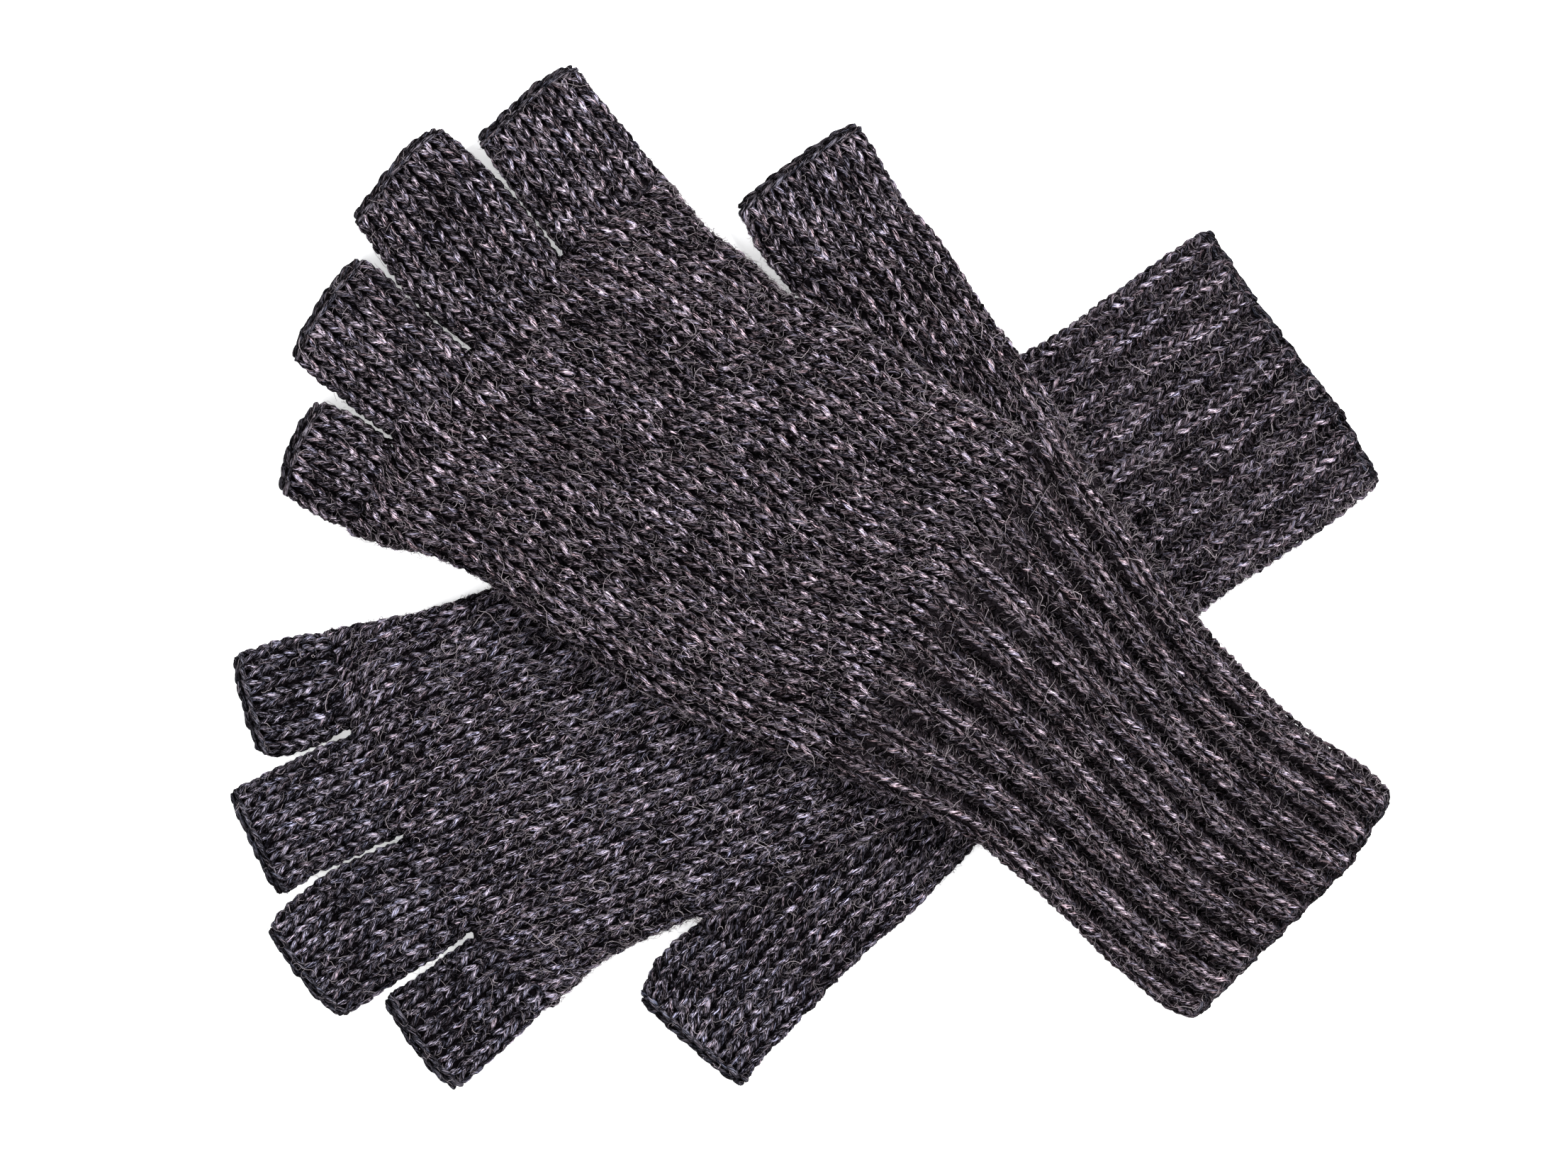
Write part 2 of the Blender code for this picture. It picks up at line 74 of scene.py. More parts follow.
GLOVES = {
    "upper": {
        "origin": (93.6, -63.8),
        "heading": 141.0,
        "little_is_left": True,
        "cuff_left": [(0.3, 28.6), (6.3, 30.9), (21.8, 30.8), (42.2, 29.0), (61.6, 29.8), (87.5, 36.7)],
        "cuff_right": [(-1.2, -29.6), (6.0, -30.4), (22.6, -29.0), (48.9, -31.9), (68.6, -37.4), (96.2, -46.4)],
        "little_edge": [(87.5, 36.7), (107.0, 43.6), (118.7, 46.4), (141.8, 49.2), (158.7, 49.6), (170.9, 52.3), (183.4, 58.2), (189.0, 59.5)],
        "gusset_line": [(95.4, -37.9), (101.0, -37.4), (112.4, -35.4), (122.2, -34.6), (135.4, -34.0), (149.7, -31.0)],
        "index_edge": [(149.7, -31.0), (160.3, -31.8), (171.8, -31.6), (185.0, -34.4)],
        "thumb_edge": [(96.2, -46.4), (107.8, -49.8), (119.6, -53.0), (132.5, -57.7), (140.4, -59.5)],
        "knuckles": [(189.0, 59.5), (192.1, 39.9), (191.3, 16.7), (188.7, -8.7), (185.0, -34.4)],
        "fingers": {
            "little": ([(192.1, 39.9), (202.2, 40.8), (209.0, 42.9)], [(189.0, 59.5), (195.6, 61.0), (203.2, 61.7)]),
            "ring": ([(191.3, 16.7), (207.0, 16.3), (214.0, 15.2), (220.0, 15.9)], [(192.1, 39.9), (202.9, 40.3), (218.1, 40.0)]),
            "middle": ([(188.7, -8.7), (205.2, -12.4), (219.0, -13.5), (224.0, -13.1)], [(191.3, 16.7), (207.7, 16.2), (214.6, 14.5), (226.1, 11.3)]),
            "index": ([(185.0, -34.4), (195.2, -36.1), (204.9, -38.2), (210.0, -39.0)], [(188.7, -8.7), (205.9, -12.9), (217.2, -15.8)]),
            "thumb": ([(140.4, -59.5), (147.2, -60.8), (155.4, -64.0), (159.7, -65.1)], [(149.7, -31.0), (155.6, -32.5), (161.0, -33.9), (168.7, -37.3)]),
        },
    },
    "lower": {
        "origin": (93.6, 42.5),
        "heading": -151.8,
        "little_is_left": False,
        "cuff_left": [(-2.6, 30.6), (13.1, 33.2), (39.4, 36.2), (70.2, 46.1), (88.0, 52.0)],
        "cuff_right": [(2.4, -30.2), (19.4, -28.1), (46.1, -25.2), (70.0, -26.4), (97.3, -28.7)],
        "little_edge": [(97.3, -28.7), (128.0, -31.4), (158.0, -34.4), (171.9, -36.6), (185.0, -40.7), (191.6, -42.7)],
        "gusset_line": [(89.0, 43.8), (101.0, 43.8), (112.4, 43.2), (122.2, 42.8), (135.4, 42.6), (152.5, 41.9)],
        "index_edge": [(152.5, 41.9), (162.2, 40.1), (173.6, 39.8), (186.8, 43.1)],
        "thumb_edge": [(88.0, 52.0), (99.8, 55.8), (113.6, 60.4), (123.9, 62.9), (137.6, 66.6), (142.0, 68.8)],
        "knuckles": [(191.6, -42.7), (194.8, -22.5), (196.1, 0.6), (192.6, 23.8), (186.8, 43.1)],
        "fingers": {
            "little": ([(191.6, -42.7), (200.5, -45.1), (208.1, -46.4)], [(194.8, -22.5), (207.7, -23.5), (213.4, -26.7)]),
            "ring": ([(194.8, -22.5), (208.5, -22.9), (222.4, -23.4)], [(196.1, 0.6), (211.9, -0.8), (221.8, -0.2)]),
            "middle": ([(196.1, 0.6), (212.1, -0.2), (221.6, 1.2), (227.9, 3.5)], [(192.6, 23.8), (206.1, 25.1), (212.6, 25.3), (222.1, 25.7)]),
            "index": ([(192.6, 23.8), (206.2, 25.8), (213.0, 26.1), (214.6, 26.5)], [(186.8, 43.1), (198.0, 45.8), (209.4, 48.6)]),
            "thumb": ([(152.5, 41.9), (156.8, 42.9), (164.9, 45.4), (170.4, 50.0)], [(142.0, 68.8), (149.1, 70.6), (154.8, 72.4), (159.4, 74.7)]),
        },
    },
}
FINGERS = ("little", "ring", "middle", "index")


# ---------------------------------------------------------------- plan geometry

def to_world(glove, points):
    a = math.radians(glove["heading"])
    p = np.atleast_2d(np.asarray(points, float))
    x = glove["origin"][0] + p[:, 0] * math.cos(a) - p[:, 1] * math.sin(a) - CENTRE_X
    y = glove["origin"][1] + p[:, 0] * math.sin(a) + p[:, 1] * math.cos(a) - CENTRE_Y
    return np.stack([x, y], axis=1)


def smooth_line(points, count):
    points = np.asarray(points, float)
    if len(points) == 2:
        f = np.linspace(0.0, 1.0, count)[:, None]
        return points[0] * (1 - f) + points[1] * f
    p = np.vstack([2 * points[0] - points[1], points, 2 * points[-1] - points[-2]])
    t = np.linspace(0.0, 1.0, 12, endpoint=False)[:, None]
    fine = []
    for i in range(1, len(p) - 2):
        a, b, c, d = p[i - 1], p[i], p[i + 1], p[i + 2]
        fine.append(0.5 * (2 * b + (c - a) * t + (2 * a - 5 * b + 4 * c - d) * t**2 + (3 * b - a - 3 * c + d) * t**3))
    fine = np.vstack(fine + [points[-1:]])
    return even(fine, count)


def even(line, count):
    s = np.concatenate([[0], np.cumsum(np.linalg.norm(np.diff(line, axis=0), axis=1))])
    at = np.linspace(0, s[-1], count)
    return np.stack([np.interp(at, s, line[:, k]) for k in range(line.shape[1])], axis=1)


def line_length(line):
    return float(np.linalg.norm(np.diff(line, axis=0), axis=1).sum())


def point_on(line, f):
    """Point at fraction f, running straight on past either end."""
    n = len(line) - 1
    at = f * n
    i = int(min(max(math.floor(at), 0), n - 1))
    return line[i] + (line[i + 1] - line[i]) * (at - i)


def unit(v):
    return v / np.linalg.norm(v)


def distance_to(points, line, block=4000):
    a, b = line[:-1], line[1:]
    ab = b - a
    l2 = np.maximum((ab * ab).sum(1), 1e-12)
    out = np.empty(len(points))
    for k in range(0, len(points), block):
        p = points[k : k + block]
        t = np.clip(((p[:, None, :] - a[None]) * ab[None]).sum(2) / l2, 0, 1)
        q = a[None] + ab[None] * t[:, :, None]
        out[k : k + block] = np.linalg.norm(q - p[:, None, :], axis=2).min(1)
    return out


def inside(points, outline):
    x, y = points[:, 0:1], points[:, 1:2]
    x0, y0 = outline[None, :, 0], outline[None, :, 1]
    x1, y1 = np.roll(x0, -1, axis=1), np.roll(y0, -1, axis=1)
    hit = ((y0 > y) != (y1 > y)) & (x < (x1 - x0) * (y - y0) / np.where(y1 == y0, 1e-12, y1 - y0) + x0)
    return hit.sum(1) % 2 == 1


def smoothstep(x):
    x = np.clip(x, 0.0, 1.0)
    return x * x * (3 - 2 * x)


def glove_outline(glove):
    f = glove["fingers"]
    low, high = (1, 0) if glove["little_is_left"] else (0, 1)
    little_cuff = glove["cuff_left"] if glove["little_is_left"] else glove["cuff_right"]
    thumb_cuff = glove["cuff_right"] if glove["little_is_left"] else glove["cuff_left"]
    points = list(little_cuff) + list(glove["little_edge"])
    for name in FINGERS:
        points += list(f[name][low]) + list(reversed(f[name][high]))
    points += list(reversed(glove["index_edge"]))
    points += list(f["thumb"][low]) + list(reversed(f["thumb"][high]))
    points += list(reversed(glove["thumb_edge"])) + list(reversed(thumb_cuff))
    return to_world(glove, points)


LOWER_OUTLINE = glove_outline(GLOVES["lower"])
LOWER_LINE = np.vstack([LOWER_OUTLINE, LOWER_OUTLINE[:1]])

# height of the upper glove's underside, on a 1 mm grid over the plan
GX, GY = np.arange(-122.0, 123.0, 1.0), np.arange(-108.0, 109.0, 1.0)


def make_height_map():
    gx, gy = np.meshgrid(GX, GY, indexing="ij")
    p = np.stack([gx.ravel(), gy.ravel()], axis=1)
    t = np.clip((distance_to(p, LOWER_LINE) - 2.5) / DRAPE, 0.0, 1.0)
    h = LIFT * (1 - t * t * (3 - 2 * t))
    h[inside(p, LOWER_OUTLINE)] = LIFT
    h = h.reshape(gx.shape)
    k = np.exp(-0.5 * (np.arange(-4, 5) / 1.6) ** 2)
    k /= k.sum()
    for axis in (0, 1):
        pad = [(4, 4) if a == axis else (0, 0) for a in (0, 1)]
        q = np.pad(h, pad, mode="edge")
        h = sum(k[i] * np.take(q, np.arange(i, i + h.shape[axis]), axis=axis) for i in range(9))
    return h


HEIGHT_MAP = make_height_map()


def base_height(which, p):
    """Height of the glove's underside at plan points (..., 2)."""
    if which == "lower":
        return np.zeros(p.shape[:-1])
    x = np.clip((p[..., 0] - GX[0]), 0, len(GX) - 1.001)
    y = np.clip((p[..., 1] - GY[0]), 0, len(GY) - 1.001)
    i, j = x.astype(int), y.astype(int)
    fx, fy = x - i, y - j
    h = HEIGHT_MAP
    return (h[i, j] * (1 - fx) + h[i + 1, j] * fx) * (1 - fy) + (h[i, j + 1] * (1 - fx) + h[i + 1, j + 1] * fx) * fy


# ---------------------------------------------------------------- the fabric's shape

def rise(d, crown, reach):
    """How far the top layer's middle stands over the fold's centre, at distance d from the folded edge."""
    x = np.clip(d / R_FOLD, 0, 1)
    return R_FOLD * np.sqrt(np.maximum(1 - (1 - x) ** 2, 0)) + crown * (1 - np.exp(-np.maximum(d, 0) / reach))


def drop(d):
    x = np.clip(d / R_FOLD, 0, 1)
    return R_FOLD * np.sqrt(np.maximum(1 - (1 - x) ** 2, 0))


FOLD_Z = SKIN + R_FOLD + 0.05  # height of a fold's centre over the underside


def cosine(n):
    return 0.5 * (1 - np.cos(np.linspace(0, math.pi, n)))


class Patch:
    """Fabric on a grid of (course, wale): its middle surface and outward normal."""

    def __init__(self, c0, dc, w0, dw, pos, out):
        self.c0, self.dc, self.w0, self.dw, self.pos = c0, dc, w0, dw, pos
        du = np.gradient(pos, axis=0)
        dv = np.gradient(pos, axis=1)
        n = np.cross(dv, du)
        n /= np.maximum(np.linalg.norm(n, axis=2, keepdims=True), 1e-9)
        self.normal = n * out
        self.raw = n

    def hand(self):
        """+1 where wales count up to the right, seen from the cuff and from outside."""
        i, j = self.pos.shape[0] // 2, self.pos.shape[1] // 2
        return 1.0 if float((self.raw[i, j] * self.normal[i, j]).sum()) > 0 else -1.0

    def at(self, c, w):
        x = np.clip((c - self.c0) / self.dc, 0, self.pos.shape[0] - 1.0001)
        y = np.clip((w - self.w0) / self.dw, 0, self.pos.shape[1] - 1.0001)
        i, j = x.astype(int), y.astype(int)
        fx, fy = (x - i)[:, None], (y - j)[:, None]

        def mix(a):
            return (a[i, j] * (1 - fx) + a[i + 1, j] * fx) * (1 - fy) + (a[i, j + 1] * (1 - fx) + a[i + 1, j + 1] * fx) * fy

        p, n = mix(self.pos), mix(self.normal)
        return p, n / np.maximum(np.linalg.norm(n, axis=1, keepdims=True), 1e-9)


def curve_at(points, arc):
    """Points at these distances along a 3-D curve, running straight on past its ends."""
    s = np.concatenate([[0], np.cumsum(np.linalg.norm(np.diff(points, axis=0), axis=1))])
    out = np.stack([np.interp(arc, s, points[:, k]) for k in range(3)], axis=1)
    low, high = arc < 0, arc > s[-1]
    if low.any():
        out[low] = points[0] + unit(points[0] - points[3]) * (-arc[low])[:, None]
    if high.any():
        out[high] = points[-1] + unit(points[-1] - points[-4]) * (arc[high] - s[-1])[:, None]
    return out


# ---------------------------------------------------------------- yarn

class Mesh:
    """Collects tubes of yarn for one object."""

    def __init__(self):
        self.verts, self.faces, self.grain, self.sink, self.uvs, self.count = [], [], [], [], [], 0

    def tube(self, path, normal, along, sides, r_side, r_flat, closed, lobes, twist, uv_box, height, phase=0.0, taper=None):
        """A yarn along path: rings of vertices that turn with the twist. height is its own over the fabric's middle."""
        n = len(path)
        if closed:
            tangent = np.roll(path, -1, axis=0) - np.roll(path, 1, axis=0)
        else:
            tangent = np.gradient(path, axis=0)
        tangent /= np.maximum(np.linalg.norm(tangent, axis=1, keepdims=True), 1e-9)
        side = np.cross(tangent, normal)
        side /= np.maximum(np.linalg.norm(side, axis=1, keepdims=True), 1e-9)
        up = np.cross(side, tangent)
        k = np.arange(sides)
        turn = along * twist
        if closed:  # whole turns round a ring
            span = turn[-1] + (turn[-1] - turn[-2]) - turn[0]
            turn = (turn - turn[0]) * (max(round(span / (2 * math.pi)), 1) * 2 * math.pi / span)
        angle = 2 * math.pi * k[None, :] / sides + turn[:, None] + phase
        radius = 1 + lobes * np.where(k % 2 == 0, 1.0, -1.0)[None, :]
        grow = np.ones(n) if taper is None else taper
        ring = (
            path[:, None, :]
            + side[:, None, :] * (np.cos(angle) * radius * grow[:, None] * r_side)[:, :, None]
            + up[:, None, :] * (np.sin(angle) * radius * grow[:, None] * r_flat)[:, :, None]
        )
        a = 2 * math.pi * k / sides
        grain = np.empty((n, sides, 3))
        grain[:, :, 0] = along[:, None]
        grain[:, :, 1] = np.cos(a)[None, :]
        grain[:, :, 2] = np.sin(a)[None, :]
        base = self.count
        self.verts.append(ring.reshape(-1, 3))
        self.grain.append(grain.reshape(-1, 3))
        # sink: how far under the fabric's top this point lies; the wool material turns it into painted shade
        over = height[:, None] + ((ring - path[:, None, :]) * normal[:, None, :]).sum(2)
        self.sink.append((SKIN + PROUD - over).reshape(-1))
        rows = n if closed else n - 1
        i = np.arange(rows)[:, None]
        j = k[None, :]
        i2, j2 = (i + 1) % n, (j + 1) % sides
        quads = np.stack([i * sides + j, i2 * sides + j, i2 * sides + j2, i * sides + j2], axis=2).reshape(-1, 4) + base
        self.faces.append(quads)
        u0, v0, u1, v1 = uv_box
        ua, ub = u0 + (u1 - u0) * i / rows, u0 + (u1 - u0) * (i + 1) / rows
        va, vb = v0 + (v1 - v0) * j / sides, v0 + (v1 - v0) * (j + 1) / sides
        one = np.ones((rows, sides))
        uv = np.stack([ua * one, va * one, ub * one, va * one, ub * one, vb * one, ua * one, vb * one], axis=2)
        self.uvs.append(uv.reshape(-1, 4, 2))
        self.count += n * sides
        if not closed:  # a small point closes each end
            for end, ring_index, flip in ((0, 0, True), (1, n - 1, False)):
                tip = path[ring_index] + tangent[ring_index] * (0.25 * r_flat * (-1 if end == 0 else 1)) * grow[ring_index]
                self.verts.append(tip[None])
                self.grain.append(np.array([[along[ring_index], 0.0, 0.0]]))
                self.sink.append(np.array([SKIN + PROUD - height[ring_index]]))
                first = base + ring_index * sides
                tri = np.stack([first + k, first + (k + 1) % sides, np.full(sides, self.count)], axis=1)
                if flip:
                    tri = tri[:, ::-1]
                self.faces.append(np.concatenate([tri, tri[:, 2:3]], axis=1))
                self.uvs.append(np.tile(np.array([[u0, v0]]), (sides, 4, 1)))
                self.count += 1

    def strands(self, paths, normals, radius, rng):
        """Three-sided hairs, all at once: paths is (hairs, points, 3)."""
        count, points = paths.shape[:2]
        tangent = np.gradient(paths, axis=1)
        tangent /= np.maximum(np.linalg.norm(tangent, axis=2, keepdims=True), 1e-9)
        side = np.cross(tangent, normals)
        side /= np.maximum(np.linalg.norm(side, axis=2, keepdims=True), 1e-9)
        up = np.cross(side, tangent)
        a = 2 * math.pi * np.arange(3) / 3
        r = radius[:, None] * np.interp(np.linspace(0, 1, points), [0, 0.1, 0.7, 1], [0.9, 1, 0.85, 0.4])[None]
        ring = (
            paths[:, :, None, :]
            + side[:, :, None, :] * (np.cos(a)[None, None] * r[:, :, None])[..., None]
            + up[:, :, None, :] * (np.sin(a)[None, None] * r[:, :, None])[..., None]
        )
        grain = np.empty((count, points, 3, 3))
        grain[..., 0] = (np.arange(count) * 37.7 + rng.uniform(0, 30, count))[:, None, None]
        grain[..., 1], grain[..., 2] = 0.0, 0.0
        h, i, j = np.arange(count)[:, None, None], np.arange(points - 1)[None, :, None], np.arange(3)[None, None]
        j2 = (j + 1) % 3
        at = h * points * 3 + i * 3
        quads = np.stack(np.broadcast_arrays(at + j, at + 3 + j, at + 3 + j2, at + j2), axis=-1).reshape(-1, 4)
        first, last = np.arange(count) * points * 3, np.arange(count) * points * 3 + (points - 1) * 3
        caps = np.concatenate([np.stack([first, first + 1, first + 2, first + 2], 1), np.stack([last, last + 2, last + 1, last + 1], 1)])
        self.faces.append(np.concatenate([quads, caps]) + self.count)
        self.verts.append(ring.reshape(-1, 3))
        self.grain.append(grain.reshape(-1, 3))
        cells = int(math.ceil(math.sqrt(count)))
        u, v = (np.arange(count) % cells) / cells, (np.arange(count) // cells) / cells
        k = 1.0 / cells
        ua = np.stack(np.broadcast_arrays(u[:, None, None] + k * i / (points - 1), v[:, None, None] + k * j / 3), -1)
        ub = np.stack(np.broadcast_arrays(u[:, None, None] + k * (i + 1) / (points - 1), v[:, None, None] + k * j / 3), -1)
        top = np.array([0.0, k / 3])
        self.uvs.append(np.stack([ua, ub, ub + top, ua + top], axis=-2).reshape(-1, 4, 2))
        self.uvs.append(np.tile(np.stack([u, v], 1)[:, None, :], (2, 4, 1)).reshape(-1, 4, 2))
        self.count += count * points * 3

    def build(self, name, material, smooth=True):
        verts = np.concatenate(self.verts) * MM
        verts[:, 2] = np.maximum(verts[:, 2], TABLE)
        quads = np.concatenate(self.faces)
        grain = np.concatenate(self.grain)
        uvs = np.concatenate(self.uvs)
        tri = quads[:, 2] == quads[:, 3]
        sizes = np.where(tri, 3, 4)
        keep = np.ones(quads.shape, bool)
        keep[tri, 3] = False
        mesh = bpy.data.meshes.new(name)
        mesh.vertices.add(len(verts))
        mesh.vertices.foreach_set("co", verts.astype(np.float32).ravel())
        mesh.loops.add(int(sizes.sum()))
        mesh.loops.foreach_set("vertex_index", quads[keep].astype(np.int32))
        mesh.polygons.add(len(quads))
        starts = np.concatenate([[0], np.cumsum(sizes)[:-1]]).astype(np.int32)
        mesh.polygons.foreach_set("loop_start", starts)
        mesh.update(calc_edges=True)
        if smooth:
            mesh.polygons.foreach_set("use_smooth", np.ones(len(quads), bool))
        layer = mesh.uv_layers.new(name="OFBake")
        layer.data.foreach_set("uv", uvs[keep].astype(np.float32).ravel())
        attribute = mesh.attributes.new("grain", "FLOAT_VECTOR", "POINT")
        attribute.data.foreach_set("vector", grain.astype(np.float32).ravel())
        if self.sink:
            attribute = mesh.attributes.new("sink", "FLOAT", "POINT")
            attribute.data.foreach_set("value", np.concatenate(self.sink).astype(np.float32))
        mesh.materials.append(material)
        mesh.update()
        obj = bpy.data.objects.new(name, mesh)
        bpy.context.scene.collection.objects.link(obj)
        return obj


def wobble(t, seed, size, lanes=3):
    """Smooth repeatable waver along a yarn."""
    out = np.zeros((len(t), 3))
    for k in range(lanes):
        f = 0.37 + 0.61 * k
        for axis in range(3):
            p = math.sin(seed * 12.9898 + k * 78.233 + axis * 37.719) * 43758.5453
            out[:, axis] += np.sin(t * f + (p - math.floor(p)) * 6.283) / (1 + k)
    return out * size


def loops(patch, c, w0, w1, face, segments, seed, proud=PROUD, sway=LOOP_SWAY):
    """The path of one course of stitches from wale w0 to w1: (points, normals, distance along)."""
    n = max(int(round((w1 - w0) * segments)), 2)
    w = np.linspace(w0, w1, n + 1)
    t = 2 * math.pi * w
    x = w + GATHER * np.sin(t) + sway * np.sin(2 * t) * (1 + 0.15 * np.sin(w * 1.7 + seed * 2.3))
    y = c - 0.5 * LOOP_HEIGHT * np.cos(t) * (1 + 0.06 * np.sin(w * 2.9 + seed))
    # the fabric's slow wander, the same for neighbouring stitches
    x = x + 0.10 * np.sin(0.33 * y + 0.19 * w) + 0.06 * np.sin(0.71 * y - 0.41 * w + 2.0)
    y = y + 0.09 * np.sin(0.29 * w - 0.17 * c) + 0.05 * np.sin(0.83 * w + 0.37 * c + 1.0)
    p, nrm = patch.at(y, x)
    z = -DEPTH * np.cos(2 * t) * face(w) * (1 + 0.12 * np.sin(w * 2.1 + seed * 1.3)) - proud * patch.hand() * np.sin(t) * face(w)
    waver = wobble(w * 2.2, seed, 0.105)
    p = p + nrm * z[:, None] + waver
    return p, nrm, w, z + (waver * nrm).sum(1)


def knit(mesh, patch, courses, span, face=lambda w: np.ones_like(w), segments=16, sides=10, seed=0.0, lobes=0.09, proud=PROUD):
    """All courses of a patch. span(c) gives (w0, w1, closed)."""
    courses = list(courses)
    spans = [span(c) for c in courses]
    if not spans:
        return
    lo = min(s[0] for s in spans)
    hi = max(s[1] for s in spans)
    total = len(courses)
    for row, (c, (w0, w1, closed)) in enumerate(zip(courses, spans)):
        if w1 - w0 < 0.6:
            continue
        p, nrm, w, z = loops(patch, c, w0, w1, face, segments, seed + c * 0.731, proud)
        z = z + PROUD - proud
        if closed:
            p, nrm, w, z = p[:-1], nrm[:-1], w[:-1], z[:-1]
        step = np.linalg.norm(np.diff(p, axis=0), axis=1)
        along = np.concatenate([[0], np.cumsum(step)]) + 1000.0 * ((seed * 7 + row) % 97)
        u0, u1 = (w0 - lo) / (hi - lo), (w1 - lo) / (hi - lo)
        box = (u0, row / total, u1, (row + 1) / total)
        thick = 1 + 0.07 * np.sin(along * 0.9 + seed + row) + 0.05 * np.sin(along * 2.3 + 1.7 * row)
        mesh.tube(p, nrm, along, sides, R_SIDE, R_FLAT, closed, lobes, TWIST, box, z, phase=row * 1.3 + seed, taper=thick)


def sheet_under(name, patch, cs, span, columns, material, offset=-0.18, half=0.14, shift=None):
    """The felted middle of the fabric: a thin closed sheet between the loops' front and back, near black, partly the
    matted fibres and partly painted shade in the gaps.
    """
    rows = []
    for c in cs:
        w0, w1, closed = span(c)
        w = np.linspace(w0, w1, columns + 1)
        if closed:
            w = w[:-1]
        p, n = patch.at(np.full(len(w), float(c)), w)
        if shift is not None:
            p = p + n * shift(w, c)[:, None]
        rows.append((p, n, closed))
    closed = rows[0][2]
    m = len(rows[0][0])
    outer = np.concatenate([p + n * (offset + half) for p, n, _ in rows])
    inner = np.concatenate([p + n * (offset - half) for p, n, _ in rows])
    verts = np.concatenate([outer, inner]) * MM
    verts[:, 2] = np.maximum(verts[:, 2], TABLE)
    total = len(outer)
    faces = []
    cols = m if closed else m - 1
    for i in range(len(rows) - 1):
        for j in range(cols):
            k = (j + 1) % m
            a, b, c_, d = i * m + j, i * m + k, (i + 1) * m + k, (i + 1) * m + j
            faces.append((a, b, c_, d))
            faces.append((d + total, c_ + total, b + total, a + total))
    for j in range(cols):
        k = (j + 1) % m
        faces.append((k, j, j + total, k + total))
        a, b = (len(rows) - 1) * m + j, (len(rows) - 1) * m + k
        faces.append((a, b, b + total, a + total))
    if not closed:
        for i in range(len(rows) - 1):
            a, b = i * m, (i + 1) * m
            faces.append((a, b, b + total, a + total))
            a, b = i * m + m - 1, (i + 1) * m + m - 1
            faces.append((b, a, a + total, b + total))
    mesh = bpy.data.meshes.new(name)
    mesh.from_pydata([tuple(v) for v in verts], [], faces)
    mesh.materials.append(material)
    mesh.update()
    mesh.shade_smooth()
    obj = bpy.data.objects.new(name, mesh)
    bpy.context.scene.collection.objects.link(obj)
    recalc(obj)
    return obj


def recalc(obj):
    import bmesh

    b = bmesh.new()
    b.from_mesh(obj.data)
    bmesh.ops.recalc_face_normals(b, faces=b.faces)
    b.to_mesh(obj.data)
    b.free()


# ---------------------------------------------------------------- materials

def node(tree, kind, **values):
    n = tree.nodes.new(kind)
    for key, value in values.items():
        setattr(n, key, value)
    return n


